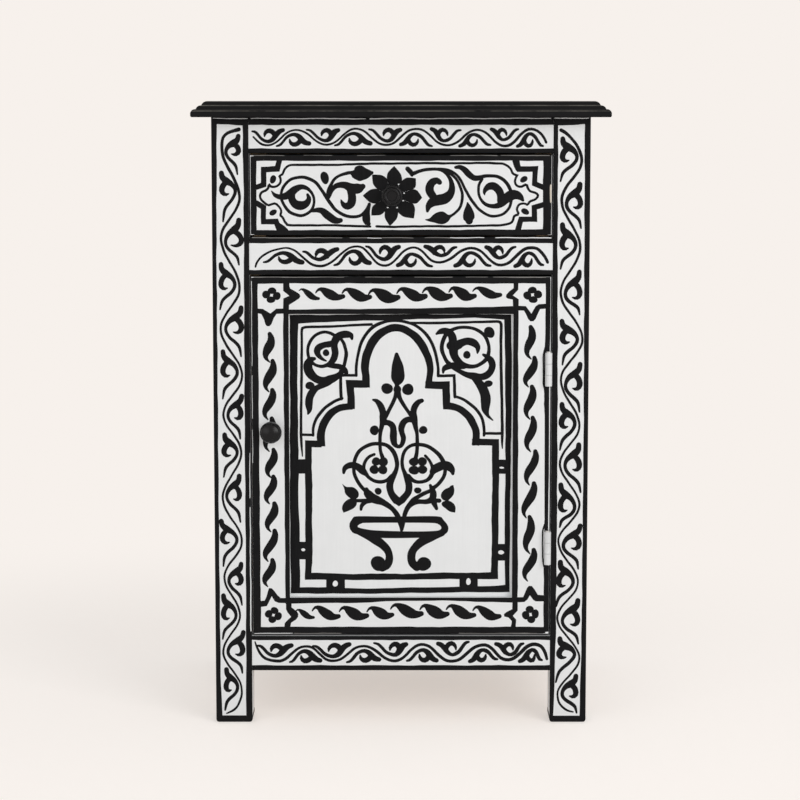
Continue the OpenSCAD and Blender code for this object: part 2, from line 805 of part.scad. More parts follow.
top();
post_front_left();
post_front_right();
post_back_left();
post_back_right();
rail_front_top();
rail_front_middle();
rail_front_bottom();
rail_back_top();
rail_back_bottom();
rail_left_top();
rail_left_bottom();
rail_right_top();
rail_right_bottom();
panel_left();
panel_right();
panel_back();
cabinet_floor();
floor_cleats();
drawer_shelf();
shelf_bearers();
drawer_guides();
drawer_kickers();
drawer_stops();
top_blocks();
door_stop();
door_catch();
hinge_upper_post_leaf();
hinge_upper_pin();
hinge_lower_post_leaf();
hinge_lower_pin();
drawer_front();
drawer_side_left();
drawer_side_right();
drawer_back();
drawer_bottom();
drawer_knob();
drawer_knob_screw();
door_stile_hinge();
door_stile_knob();
door_rail_top();
door_rail_bottom();
door_panel();
door_knob();
door_knob_screw();
door_catch_plate();
hinge_upper_door_leaf();
hinge_lower_door_leaf();
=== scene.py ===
"""Looks of the hand-painted bedside cabinet: white ground, black borders, vines and scrolls.

The file is laid out as an add-on and is run as a script. Drawings are in millimetres as they are
seen from the front, x to the right and z up, in the cabinet's own frame. A piece's mesh is in
metres. Every line of paint is a thin closed skin that lies on the wood.
"""
import math

import bmesh
import bpy
import numpy as np
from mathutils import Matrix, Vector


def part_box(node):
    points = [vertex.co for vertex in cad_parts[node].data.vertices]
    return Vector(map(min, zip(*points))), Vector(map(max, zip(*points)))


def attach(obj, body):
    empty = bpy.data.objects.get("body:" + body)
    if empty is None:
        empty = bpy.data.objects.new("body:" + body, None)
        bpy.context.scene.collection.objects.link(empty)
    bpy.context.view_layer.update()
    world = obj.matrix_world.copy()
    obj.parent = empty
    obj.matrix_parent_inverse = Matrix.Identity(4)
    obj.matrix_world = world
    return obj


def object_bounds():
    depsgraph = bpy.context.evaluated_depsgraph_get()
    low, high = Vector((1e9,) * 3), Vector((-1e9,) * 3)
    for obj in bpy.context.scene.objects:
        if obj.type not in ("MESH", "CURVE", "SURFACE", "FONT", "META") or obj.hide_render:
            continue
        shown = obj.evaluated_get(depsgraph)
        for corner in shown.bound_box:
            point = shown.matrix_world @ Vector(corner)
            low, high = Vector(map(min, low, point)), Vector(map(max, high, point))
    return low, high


bl_info = {
    "name": "Painted bedside cabinet",
    "version": (1, 0, 0),
    "blender": (4, 5, 0),
    "location": "View3D > Sidebar > Cabinet",
    "description": "Paints and lights a bedside cabinet with black scrollwork on white",
    "category": "Object",
}

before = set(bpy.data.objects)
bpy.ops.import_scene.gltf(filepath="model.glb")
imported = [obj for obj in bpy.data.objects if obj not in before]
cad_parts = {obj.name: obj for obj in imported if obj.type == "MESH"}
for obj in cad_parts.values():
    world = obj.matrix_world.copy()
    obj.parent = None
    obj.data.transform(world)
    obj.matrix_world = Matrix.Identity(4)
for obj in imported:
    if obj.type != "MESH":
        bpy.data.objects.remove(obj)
CAD_BOX = [list(corner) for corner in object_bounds()]

MM = 0.001
# How far back the cabinet reaches
BACK = CAD_BOX[1][1] / MM
# The drawing of the front leans by this much from the level line that is named after it
LEAN = 0.0031
LEVEL_LINE = 433.0
# The height that the front is looked at from, and how much larger a drawing is 8 mm farther back
EYE_LINE = 640.0
SET_BACK = 1.00315
# How far the skin of paint reaches into the wood, and how wide its sloping edge is
SINK = 0.05
SLOPE = 0.16
# What a drawing keeps from the edge of the wood
TRIM = 0.12
# How much thicker the paint of a touch is that lies over another painting
OVER = 1.8
# The least that the normals on both sides of a mitred corner agree, so that it isn't too long
MITRE = 0.45
# Radii of the eased edges of the posts, and of the rails, the drawer front and the door
POST_EASE = 1.5
EASE = 0.8
# Half the width over the posts, the width of a post and the height where the posts meet the top
HALF_WIDTH = 191.3
POST = 37.3
UNDER_TOP = 624.0


class PaintSettings(bpy.types.PropertyGroup):
    """Colours of the finishes and the hand that paints."""
    white: bpy.props.FloatVectorProperty(
        name="White paint", description="Ground of the whole cabinet",
        subtype="COLOR", size=3, min=0, max=1, default=(0.785, 0.795, 0.80))
    black: bpy.props.FloatVectorProperty(
        name="Black paint", description="Top, borders and scrollwork",
        subtype="COLOR", size=3, min=0, max=1, default=(0.0045, 0.0045, 0.005))
    primer: bpy.props.FloatVectorProperty(
        name="Primer", description="Pale undercoat where the paint has chipped",
        subtype="COLOR", size=3, min=0, max=1, default=(0.62, 0.55, 0.46))
    softwood: bpy.props.FloatVectorProperty(
        name="Softwood", description="Bare wood inside",
        subtype="COLOR", size=3, min=0, max=1, default=(0.60, 0.41, 0.23))
    steel: bpy.props.FloatVectorProperty(
        name="Zinc", description="Screws, pins and the catch plate",
        subtype="COLOR", size=3, min=0, max=1, default=(0.62, 0.62, 0.61))
    catch: bpy.props.FloatVectorProperty(
        name="Catch", description="Plastic case of the magnetic catch",
        subtype="COLOR", size=3, min=0, max=1, default=(0.5, 0.46, 0.4))
    lift: bpy.props.FloatProperty(
        name="Paint thickness", description="How far a painted line stands off the ground",
        unit="LENGTH", default=0.0002, min=0.00005, max=0.0005, precision=5)
    full: bpy.props.FloatProperty(
        name="Full brush", description="What a full brush adds to the width of every stroke",
        unit="LENGTH", default=0.00062, min=0, max=0.002, precision=5)
    unsteady: bpy.props.FloatProperty(
        name="Unsteadiness", description="How far the painter's hand strays from the line",
        unit="LENGTH", default=0.0003, min=0, max=0.002, precision=5)


class StageSettings(bpy.types.PropertyGroup):
    """Floor, lamps and camera."""
    ground: bpy.props.FloatVectorProperty(
        name="Background", description="Colour of the floor and of what lies behind it",
        subtype="COLOR", size=3, min=0, max=1, default=(0.930, 0.879, 0.838))
    sky: bpy.props.FloatProperty(
        name="Sky", description="Strength of the even light from all round",
        default=0.55, min=0, max=2)
    key: bpy.props.FloatProperty(
        name="Key lamp", description="Power of the soft lamp on the right",
        unit="POWER", default=38, min=0, max=500)
    fill: bpy.props.FloatProperty(
        name="Fill lamp", description="Power of the broad lamp on the left",
        unit="POWER", default=17, min=0, max=500)
    lens: bpy.props.FloatProperty(
        name="Lens", description="Focal length in millimetres, on a 36 mm wide sensor",
        default=112.3, min=20, max=300)
    eye: bpy.props.FloatVectorProperty(
        name="Camera place", description="Where the camera stands",
        subtype="XYZ", unit="LENGTH", size=3, default=(-0.001, -2.669, 0.640))
    tilt: bpy.props.FloatProperty(
        name="Camera tilt", description="How far the camera looks down",
        subtype="ANGLE", unit="ROTATION", default=math.radians(6.83), min=0, max=1.5)


def paint_settings():
    return bpy.context.scene.cabinet_paint


# Lines

def flow(points, step=1.6, closed=False):
    """A smooth line through given points, each with its width.

    Between two points the line is a cubic whose slope at each is half the way from the point
    before to the point after, and it is then divided into even steps of length."""
    p = np.asarray(points, float)
    if closed:
        p = np.vstack([p[-1:], p, p[:2]])
    else:
        p = np.vstack([2 * p[:1] - p[1:2], p, 2 * p[-1:] - p[-2:-1]])
    a, b, c, d = p[:-3], p[1:-2], p[2:-1], p[3:]
    t = np.linspace(0, 1, 10, endpoint=False)[:, None, None]
    q = b + 0.5 * t * (c - a + t * (2 * a - 5 * b + 4 * c - d + t * (3 * (b - c) + d - a)))
    q = np.vstack([q.transpose(1, 0, 2).reshape(-1, p.shape[1]), c[-1:]])
    return even(q, step, closed)


def lengths(path):
    """The length of a line up to each of its points."""
    return np.r_[0, np.cumsum(np.hypot(*np.diff(path[:, :2], axis=0).T))]


def even(q, step, closed=False):
    """Divides a line into even steps of length, and leaves out the last point of a closed one."""
    along = lengths(q)
    count = max(3, int(round(along[-1] / step)) + 1)
    s = np.linspace(0, along[-1], count)
    q = np.stack([np.interp(s, along, q[:, k]) for k in range(q.shape[1])], 1)
    return q[:-1] if closed else q


def ruled(points, step=7.0, closed=False):
    """Straight lines from point to point, with every corner kept and even steps between."""
    p = np.asarray(points, float)
    if closed:
        p = np.vstack([p, p[:1]])
    parts = []
    for a, b in zip(p[:-1], p[1:]):
        count = max(1, int(round(np.hypot(*(b - a)[:2]) / step)))
        parts.append(a + (b - a) * np.arange(count)[:, None] / count)
    return np.vstack(parts if closed else parts + [p[-1:]])


def waves(turns, step=5.0, fuller=0.0):
    """A vine's wave: half a cosine from each turning point to the next, along the first axis.
    The cosine is mixed with the sine of itself where the bends are to be fuller."""
    turns = np.asarray(turns, float)
    count = int(abs(turns[-1, 0] - turns[0, 0]) / step) + 2
    a = np.linspace(turns[0, 0], turns[-1, 0], count)
    order = np.argsort(turns[:, 0])
    phase = np.interp(a, turns[order, 0], order.astype(float))
    k = np.clip(np.floor(phase).astype(int), 0, len(turns) - 2)
    t = phase - k
    c = np.cos(np.pi * t)
    c += fuller * (np.sin(np.pi / 2 * c) - c)
    b = turns[k, 1] + (turns[k + 1, 1] - turns[k, 1]) * (1 - c) / 2
    return np.stack([a, b], 1)


def with_width(points, width):
    """Gives points one width."""
    return np.column_stack([points, np.full(len(points), float(width))])


def both_edges(path, closed=False):
    """The left and right edges of a line, and its normals: at each point half the width along
    the mean of the normals before and after it, longer at a corner so that the two straight
    parts mitre."""
    line, half = path[:, :2], path[:, 2:3] / 2
    ahead = np.roll(line, -1, 0) - line
    behind = line - np.roll(line, 1, 0)
    if not closed:
        ahead[-1] = behind[-1]
        behind[0] = ahead[0]
    ahead /= np.maximum(np.hypot(*ahead.T), 1e-6)[:, None]
    behind /= np.maximum(np.hypot(*behind.T), 1e-6)[:, None]
    both = ahead + behind
    normal = np.column_stack([-both[:, 1], both[:, 0]])
    normal /= np.maximum(1 + (ahead * behind).sum(1), MITRE)[:, None]
    return line + normal * half, line - normal * half, normal


def half_round(end, before):
    """The half round beyond the end of a stroke: the width falls with the cosine of an angle
    while the line goes on with its sine."""
    angle = np.radians([28, 55, 78])[:, None]
    way = end[:2] - before[:2]
    way = way / max(np.hypot(*way), 1e-6)
    return np.hstack([end[:2] + way * np.sin(angle) * end[2] / 2, end[2] * np.cos(angle)])


def grid(n, m, closed=True):
    """Faces between n rings of m points each, and from the last ring to the first where it is
    closed."""
    i, j = np.arange(n if closed else n - 1)[:, None], np.arange(m)[None, :]
    k, l = (i + 1) % n, (j + 1) % m
    return np.stack([i * m + j, i * m + l, k * m + l, k * m + j], -1).reshape(-1, 4).tolist()


# Where a drawing lies

def box_of(*names):
    """Lowest and highest corners of CAD nodes together, in millimetres."""
    boxes = [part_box(name) for name in names]
    low = np.min([list(b[0]) for b in boxes], 0) / MM
    high = np.max([list(b[1]) for b in boxes], 0) / MM
    return low, high


def fall(near, radius):
    """How far a quarter-round edge lies below the face, at a distance from the edge."""
    inside = np.clip(radius - near, 0, radius)
    return radius - np.sqrt(np.maximum(radius ** 2 - inside ** 2, 0))


def kept_inside(window, u, v):
    """Keeps a drawing inside a window, and says how near it is to the lower and upper ends."""
    u0, u1, v0, v1 = window
    u, v = np.clip(u, u0 + TRIM, u1 - TRIM), np.clip(v, v0 + TRIM, v1 - TRIM)
    return u, v, np.minimum(v - v0, v1 - v)


def on_front(names, ease=EASE, ends_eased=True, back=1.0, window=None):
    """Lays a drawing on a face that looks forward, kept inside a window or the face itself."""
    low, high = box_of(*names)
    window = window or (low[0], high[0], low[2], high[2])

    def place(u, v, h):
        u = (u - LEAN * (v - LEVEL_LINE)) * back
        v = EYE_LINE + (v - EYE_LINE) * back
        u, v, near = kept_inside(window, u, v)
        if ends_eased:
            near = np.minimum(near, np.minimum(u - window[0], window[1] - u))
        return np.stack([u, low[1] - h + fall(near, ease), v], -1)
    return place


def on_side(name, side, window, ease=EASE):
    """Lays a drawing on a face that looks left (side -1) or right (side 1), kept inside a
    window. Its first axis runs from the front of the cabinet to the back."""
    low, high = box_of(name)
    face = high[0] if side > 0 else -low[0]

    def place(u, v, h):
        u, v, near = kept_inside(window, u, v)
        return np.stack([side * (face + h - fall(near, ease)), u, v], -1)
    return place


def on_post(name, side, facing):
    """Lays a drawing round the outer corner of a post. Its first axis is the way from that
    corner: inwards over the front or back face where it is positive, and over the outer side
    where it is negative. The corner itself is a quarter round."""
    low, high = box_of(name)
    outer = high[0] if side > 0 else -low[0]
    face = low[1] if facing < 0 else high[1]
    r = POST_EASE

    def place(u, v, h):
        far = u - POST
        inner = far > -r
        k = np.where(inner, far, u)
        turn = np.clip(k / r, -1, 1) * np.pi / 4 + np.pi / 4 + np.where(inner, np.pi / 2, 0)
        middle = np.where(inner, outer - POST + r, outer - r)
        x = middle + (r + h) * np.cos(turn)
        y = r - (r + h) * np.sin(turn)
        flat = (u >= r) & ~inner
        x = np.where(flat, outer - u, x)
        y = np.where(flat, -h, y)
        beside = u <= -r
        x = np.where(beside, outer + h - fall(POST + u, r), x)
        y = np.where(beside, -u, y)
        x = np.where(far >= r, outer - POST - h, x)
        y = np.where(far >= r, far, y)
        v = np.clip(v, 0.2, UNDER_TOP - TRIM)
        y = np.minimum(face - facing * y, BACK - 0.005)
        return np.stack([side * x, y, v], -1)
    return place


def upright(u, v):
    """A point of the drawing that comes to lie at a place of the wood once the lean is off."""
    return u + LEAN * (v - LEVEL_LINE), v


# Paint

class Painting:
    """One painted piece: closed skins of dried paint, gathered and then made one mesh."""

    def __init__(self, name, place, seed):
        settings = paint_settings()
        self.name = name
        self.place = place
        self.rng = np.random.default_rng(seed)
        self.lift = settings.lift / MM
        self.full = settings.full / MM
        self.unsteady = settings.unsteady / MM
        self.points = []
        self.faces = []
        self.start = 0

    def stray(self, along, amount):
        """A slow wander of the hand: three sines of the length, with phases drawn by lot."""
        a, b, c = self.rng.uniform(0, 2 * np.pi, 3)
        return amount * (0.55 * np.sin(along / 9.7 + a) + 0.3 * np.sin(along / 4.3 + b)
                         + 0.25 * np.sin(along / 2.1 + c))

    def thickness(self, over):
        """How thick a skin is: so many times the lift, a little more or less by lot."""
        return self.lift * over * self.rng.uniform(0.9, 1.1)

    def keep(self, points, faces):
        """Adds points, and the faces between them."""
        self.points.append(points.reshape(-1, 3))
        self.faces += [tuple(i + self.start for i in face) for face in faces]
        self.start += len(self.points[-1])

    def skin(self, left, right, inner=1, closed=False, over=1.0):
        """A skin between two edges. Its section climbs a short slope at each edge, and its top
        is slightly higher in the middle; a last face under the wood's surface closes it."""
        lift = self.thickness(over)
        span = right - left
        width = np.maximum(np.hypot(*span.T), 1e-6)[:, None]
        slope = np.minimum(SLOPE / width, 0.3)
        across = np.linspace(0, 1, inner + 2)[None, :]
        part = slope + (1 - 2 * slope) * across
        top = left[:, None] + span[:, None] * part[:, :, None]
        rings = np.concatenate([left[:, None], top, right[:, None]], 1)
        n, m = rings.shape[:2]
        dome = lift * (0.85 + 0.6 * across * (1 - across)) * np.ones((n, 1))
        edge = np.full((n, 1), -SINK)
        faces = grid(n, m, closed)
        if not closed:
            faces += [range(m - 1, -1, -1), range((n - 1) * m, n * m)]
        h = np.concatenate([edge, dome, edge], 1)
        self.keep(self.place(rings[..., 0], rings[..., 1], h), faces)

    def stroke(self, points, step=1.6, smooth=True, closed=False, steady=1.0, over=1.0,
               rounded=True):
        """A brush stroke along points with widths, with ends that are rounded or cut off."""
        path = flow(points, step, closed) if smooth else ruled(points, step, closed)
        path[:, 2] += self.full
        if rounded and not closed:
            path = np.vstack([half_round(path[0], path[1])[::-1], path,
                              half_round(path[-1], path[-2])])
        along = lengths(path)
        normal = both_edges(path, closed)[2]
        if not closed or not smooth:
            path[:, :2] += normal * self.stray(along, self.unsteady * steady)[:, None]
            path[:, 2] *= 1 + self.stray(along, 0.07)
        left, right, _ = both_edges(path, closed)
        self.skin(left, right, closed=closed, over=over)

    def band(self, outer, inner, closed=False, step=8.0, wavy=(False, True), across=10):
        """A border between two straight edges of as many points. Either edge may wander."""
        both = ruled(np.hstack([outer, inner]), step, closed)
        left, right = both[:, :2].copy(), both[:, 2:].copy()
        along = lengths(left)
        for edge, wanders in ((left, wavy[0]), (right, wavy[1])):
            if wanders:
                edge[:, 0] += self.stray(along, self.unsteady * 1.2)
                edge[:, 1] += self.stray(along, self.unsteady * 1.2)
        self.skin(left, right, inner=across, closed=closed)

    def shape(self, *parts, step=1.3, smooth=True, over=1.0):
        """A filled outline. Each part is a smooth line, and the parts meet at corners."""
        if len(parts) == 1 and smooth:
            line = flow(parts[0], step, closed=True)
        else:
            line = np.vstack([(flow(p, step) if smooth else ruled(p, 6.0))[:-1] for p in parts])
        line = line[:, :2]
        lift = self.thickness(over)
        left, right, _ = both_edges(with_width(line, 2 * SLOPE), True)
        x, y = line.T
        turning = np.sum(x * np.roll(y, -1) - np.roll(x, -1) * y)
        u, v = np.vstack([line, left if turning > 0 else right]).T
        n = len(line)
        h = np.r_[np.full(n, -SINK), np.full(n, lift)]
        i = np.arange(n)
        k = (i + 1) % n
        quads = np.stack([i, k, k + n, i + n], 1).tolist()
        self.keep(self.place(u, v, h), quads + [range(n, 2 * n), range(n - 1, -1, -1)])

    def dot(self, u, v, ru, rv=None, turn=0.0, over=1.0, count=18):
        """A dab of the brush: an ellipse whose radius strays a little with the angle."""
        a = np.linspace(0, 2 * np.pi, count, endpoint=False)
        b, c = self.rng.uniform(0, 2 * np.pi, 2)
        r = 1 + 0.035 * np.sin(2 * a + b) + 0.025 * np.sin(3 * a + c)
        more = self.full / 3
        p, q = (ru + more) * r * np.cos(a), ((rv or ru) + more) * r * np.sin(a)
        t = math.radians(turn)
        self.shape(np.column_stack([u + p * math.cos(t) - q * math.sin(t),
                                    v + p * math.sin(t) + q * math.cos(t)]),
                   step=max(0.7, 2 * math.pi * ru / count), over=over)

    def finish(self, body, finish_name="black_line_paint"):
        """Makes the mesh, turns every closed skin's faces outward and sets the piece riding."""
        mesh = bpy.data.meshes.new(self.name)
        mesh.from_pydata((np.vstack(self.points) * MM).tolist(), [], self.faces)
        mesh.validate()
        work = bmesh.new()
        work.from_mesh(mesh)
        bmesh.ops.recalc_face_normals(work, faces=work.faces)
        work.to_mesh(mesh)
        work.free()
        mesh.materials.append(finishes()[finish_name])
        piece = placed(self.name, mesh)
        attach(piece, body)


def placed(name, data):
    """A new object in the scene."""
    thing = bpy.data.objects.new(name, data)
    bpy.context.scene.collection.objects.link(thing)
    return thing


# Finishes

def feed(node, inputs):
    """Links inputs of a node to sockets, or gives them values."""
    for key, source in inputs.items():
        if isinstance(source, bpy.types.NodeSocket):
            node.id_data.links.new(source, node.inputs[key])
        else:
            node.inputs[key].default_value = source
    return node


def add(tree, kind, inputs=None, **fields):
    """Adds a node, sets its fields and feeds its inputs."""
    node = tree.nodes.new(kind)
    for key, value in fields.items():
        setattr(node, key, value)
    return feed(node, inputs or {})


def maths(tree, operation, *terms):
    """The result of a sum with up to three terms."""
    return add(tree, "ShaderNodeMath", dict(enumerate(terms)), operation=operation).outputs[0]


def noise(tree, place, scale, detail, rough=0.5):
    """Noise from nought to one."""
    return add(tree, "ShaderNodeTexNoise", {
        "Vector": place, "Scale": scale, "Detail": detail, "Roughness": rough}).outputs["Fac"]


def ranged(tree, value, low, high, to_low=0, to_high=1, **fields):
    """A value that runs from low to high, made to run from one end to the other."""
    return add(tree, "ShaderNodeMapRange", {
        "Value": value, "From Min": low, "From Max": high, "To Min": to_low,
        "To Max": to_high}, **fields).outputs[0]


def mixed(tree, factor, none, all_of):
    """A colour between two."""
    return add(tree, "ShaderNodeMix", {"Factor": factor, "A": none, "B": all_of},
               data_type="RGBA").outputs["Result"]


def bumped(tree, height, strength, distance):
    """A normal bent by a height."""
    return add(tree, "ShaderNodeBump", {
        "Height": height, "Strength": strength, "Distance": distance}).outputs[0]


def stretched(tree, place, by):
    """A place drawn out along its third axis."""
    return add(tree, "ShaderNodeVectorMath", {0: place, 1: (1, 1, by)},
               operation="MULTIPLY").outputs[0]


def group(name, inputs, outputs, build):
    """A node group, built once. Its sockets are given as names with their kinds."""
    tree = bpy.data.node_groups.get(name)
    if tree is None:
        tree = bpy.data.node_groups.new(name, "ShaderNodeTree")
        for way, sockets in (("INPUT", inputs), ("OUTPUT", outputs)):
            for label, kind in sockets.items():
                tree.interface.new_socket(label, in_out=way, socket_type="NodeSocket" + kind)
        start, end = tree.nodes.new("NodeGroupInput"), tree.nodes.new("NodeGroupOutput")
        feed(end, build(tree, start.outputs))
    return tree


def brushed_group():
    """Brush marks: long streaks along the third axis of the given place, slow unevenness of the
    colour, and the height of the ridges that the bristles leave."""
    def build(tree, given):
        place = given["Place"]
        streak = noise(tree, stretched(tree, place, 0.045), given["Ridges"], 3, 0.6)
        coarse = noise(tree, place, 38, 4, 0.55)
        fine = noise(tree, place, 900, 2)
        spread = ranged(tree, maths(tree, "MULTIPLY", streak, coarse), 0.14, 0.38)
        return {"Colour": mixed(tree, spread, given["Thin colour"], given["Full colour"]),
                "Roughness": ranged(tree, coarse, 0, 1, given["Smooth"], given["Rough"]),
                "Height": maths(tree, "MULTIPLY_ADD", fine, 0.25, streak)}
    return group("Brushed paint", {
        "Place": "Vector", "Ridges": "Float", "Full colour": "Color", "Thin colour": "Color",
        "Smooth": "Float", "Rough": "Float"},
        {"Colour": "Color", "Roughness": "Float", "Height": "Float"}, build)


def grain_group():
    """Softwood grain along the third axis of the given place: rings round a slightly crooked
    pith, cut lengthwise, with fine pores and a few darker patches."""
    def build(tree, given):
        long = stretched(tree, given["Place"], 0.06)
        ring = add(tree, "ShaderNodeTexWave", {
            "Vector": long, "Scale": 26, "Distortion": 5, "Detail": 2, "Detail Scale": 1.4,
            "Phase Offset": noise(tree, long, 14, 2)}, wave_type="RINGS", rings_direction="Z")
        ramp = maths(tree, "MULTIPLY", ring.outputs["Fac"], noise(tree, long, 900, 2))
        return {"Colour": mixed(tree, ramp, given["Late wood"], given["Early wood"]),
                "Height": ramp}
    return group("Softwood grain", {
        "Place": "Vector", "Early wood": "Color", "Late wood": "Color"},
        {"Colour": "Color", "Height": "Float"}, build)


# How far a painted band along a level arris reaches from its height, in metres: highlight on
# the top, shade in the gaps
ARRIS_BAND_REACH = 0.0007
# Turns that bring a material's third axis to lie along x, y or z
TURN_TO = {"x": (0, math.pi / 2, 0), "y": (math.pi / 2, 0, 0), "z": (0, 0, 0)}


def material(name, colour):
    """An empty node material, as its tree and its shader."""
    made = bpy.data.materials.new(name)
    made.use_nodes = True
    made.diffuse_color = tint(colour, 1)
    return made.node_tree, made.node_tree.nodes["Principled BSDF"]


def place_along(tree, axis):
    """Object coordinates turned so that the third axis runs along x, y or z."""
    place = add(tree, "ShaderNodeTexCoord").outputs["Object"]
    return add(tree, "ShaderNodeMapping", {
        "Vector": place, "Rotation": TURN_TO[axis]}).outputs[0]


def tint(colour, by):
    """A colour made lighter or darker, with its alpha."""
    return tuple(min(1.0, c * by) for c in colour) + (1.0,)


def arris_band_group():
    """A line along an arris that runs level: a soft band round one height, broken up by slow and
    fine noise. It serves as painted highlight on the top's moulded edge and as painted shade on
    the edges that face the gaps."""
    def build(tree, given):
        parts = add(tree, "ShaderNodeSeparateXYZ", {"Vector": given["Place"]})
        away = maths(tree, "SUBTRACT", parts.outputs["Z"], given["Height"])
        band = ranged(tree, maths(tree, "ABSOLUTE", away), 0, ARRIS_BAND_REACH, 1, 0,
                      interpolation_type="SMOOTHSTEP")
        slow = noise(tree, given["Place"], 22, 6, 0.7)
        kept = ranged(tree, slow, given["None below"], given["All above"])
        return {"Mask": maths(tree, "MULTIPLY", band, kept)}
    return group("Arris highlight and shade", {
        "Place": "Vector", "Height": "Float", "None below": "Float", "All above": "Float"},
        {"Mask": "Float"}, build)


def brushed(name, colour, axis, thin=0.9, smooth=0.38, rough=0.55, bump=0.00012, ridges=420.0,
            specular=0.35, metallic=0.0, arris_heights=(), arris_colour=None, kept=(0.36, 0.62)):
    """Paint or plating brushed along one axis, and turned to another colour in soft bands round
    given arris heights: painted highlights on the top, painted shade on the edges in the gaps.
    Where there is no bump, the marks are only a faint cloudiness of the shine."""
    tree, shader = material(name, colour)
    marks = add(tree, "ShaderNodeGroup", {
        "Place": place_along(tree, axis), "Full colour": tint(colour, 1),
        "Thin colour": tint(colour, thin), "Smooth": smooth, "Rough": rough,
        "Ridges": ridges}, node_tree=brushed_group()).outputs
    seen = marks["Colour"]
    # Bands round arris heights: painted highlights on the top, painted shade in the gaps
    for level in arris_heights:
        mask = add(tree, "ShaderNodeGroup", {
            "Place": add(tree, "ShaderNodeTexCoord").outputs["Object"], "Height": level,
            "None below": kept[0], "All above": kept[1]}, node_tree=arris_band_group())
        seen = mixed(tree, mask.outputs[0], seen, tint(arris_colour, 1))
    feed(shader, {"Base Color": seen, "Roughness": marks["Roughness"],
                  "Specular IOR Level": specular, "Metallic": metallic})
    if bump:
        feed(shader, {"Normal": bumped(tree, marks["Height"], 1.0, bump)})


def softwood(name, colour, axis):
    """Sanded bare wood with its grain along one axis."""
    tree, shader = material(name, colour)
    grain = add(tree, "ShaderNodeGroup", {
        "Place": place_along(tree, axis), "Early wood": tint(colour, 1.12),
        "Late wood": tint(colour, 0.72)}, node_tree=grain_group()).outputs
    feed(shader, {"Base Color": grain["Colour"], "Roughness": 0.62,
                  "Normal": bumped(tree, grain["Height"], 0.6, 0.0001)})


# Heights of the level edges that face the gaps round the drawer and the door, whose faces get a
# band of black there as painted shade in the gaps, and along what axis the white paint is brushed
EDGED = [
    ("rails", "x", (588, 503, 465)), ("drawer", "x", (586, 505)),
    ("door", "x", (463, 93.5)), ("stiles", "z", (463, 93.5)),
]


def finishes():
    """All materials by name, made once."""
    if "white_paint_up" not in bpy.data.materials:
        s = paint_settings()
        for axis, word in (("z", "up"), ("x", "across"), ("y", "deep")):
            brushed("white_paint_" + word, s.white, axis, thin=0.965, bump=0.00005)
            softwood("softwood_" + word, s.softwood, axis)
        # The black bands on the edges that face the gaps are painted shade
        for word, axis, edges in EDGED:
            brushed("white_paint_" + word, s.white, axis, thin=0.965, bump=0.00005,
                    arris_heights=[edge * MM for edge in edges], arris_colour=s.black, kept=(0.24, 0.42))
        # The pale bands at two heights of the top's moulded edge are painted highlights on its rounded
        # shoulders
        brushed("black_top_paint", s.black, "x", thin=1.15, smooth=0.46, rough=0.62,
                bump=0.00008, specular=0.1, arris_heights=(0.6302, 0.6357), arris_colour=(0.17, 0.16, 0.14))
        brushed("black_line_paint", s.black, "z", thin=1.7, smooth=0.4, rough=0.6,
                bump=0.00005, ridges=700.0, specular=0.08)
        brushed("black_knob_paint", s.black, "y", thin=1.4, smooth=0.2, rough=0.32,
                bump=0.00003, specular=0.2)
        # Grey for thin lines along arrises, partly scuffs and partly painted highlight
        brushed("scuff_and_sheen_paint", (0.25, 0.24, 0.23), "x", thin=0.8)
        brushed("hinge_paint", s.white, "z", thin=0.82, smooth=0.3, rough=0.5, bump=0.0001)
        brushed("primer_coat", s.primer, "z", thin=0.8, rough=0.8)
        brushed("catch_plastic", s.catch, "z", thin=0.85, smooth=0.45, rough=0.55,
                bump=0.00003)
        brushed("zinc_plate", s.steel, "z", thin=0.8, smooth=0.25, rough=0.45, bump=0,
                specular=0.5, metallic=1.0)
    return bpy.data.materials


def dress(names, finish_name):
    """Puts a finish on CAD nodes."""
    for name in names:
        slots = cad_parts[name].material_slots
        if not slots:
            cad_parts[name].data.materials.append(finishes()[finish_name])
        for slot in slots:
            slot.material = finishes()[finish_name]


DRESSING = {
    "white_paint_up": [
        "post_front_left", "post_front_right", "post_back_left", "post_back_right",
        "panel_left", "panel_right", "door_panel"],
    "white_paint_across": ["rail_back_top", "rail_back_bottom"],
    "white_paint_rails": ["rail_front_top", "rail_front_middle", "rail_front_bottom"],
    "white_paint_drawer": ["drawer_front"],
    "white_paint_door": ["door_rail_top", "door_rail_bottom"],
    "white_paint_stiles": ["door_stile_hinge", "door_stile_knob"],
    "white_paint_deep": [
        "rail_left_top", "rail_left_bottom", "rail_right_top", "rail_right_bottom"],
    "black_top_paint": ["top"],
    "black_knob_paint": ["drawer_knob", "door_knob"],
    "hinge_paint": [
        "hinge_upper_post_leaf", "hinge_lower_post_leaf", "hinge_upper_door_leaf",
        "hinge_lower_door_leaf"],
    "softwood_up": ["door_stop", "top_blocks", "panel_back"],
    "softwood_across": [
        "cabinet_floor", "drawer_shelf", "drawer_back", "drawer_bottom", "drawer_stops"],
    "softwood_deep": [
        "floor_cleats", "shelf_bearers", "drawer_guides", "drawer_kickers",
        "drawer_side_left", "drawer_side_right"],
    "zinc_plate": [
        "hinge_upper_pin", "hinge_lower_pin", "drawer_knob_screw", "door_knob_screw",
        "door_catch_plate"],
    "catch_plastic": ["door_catch"],
}


# Vines and leaves that repeat

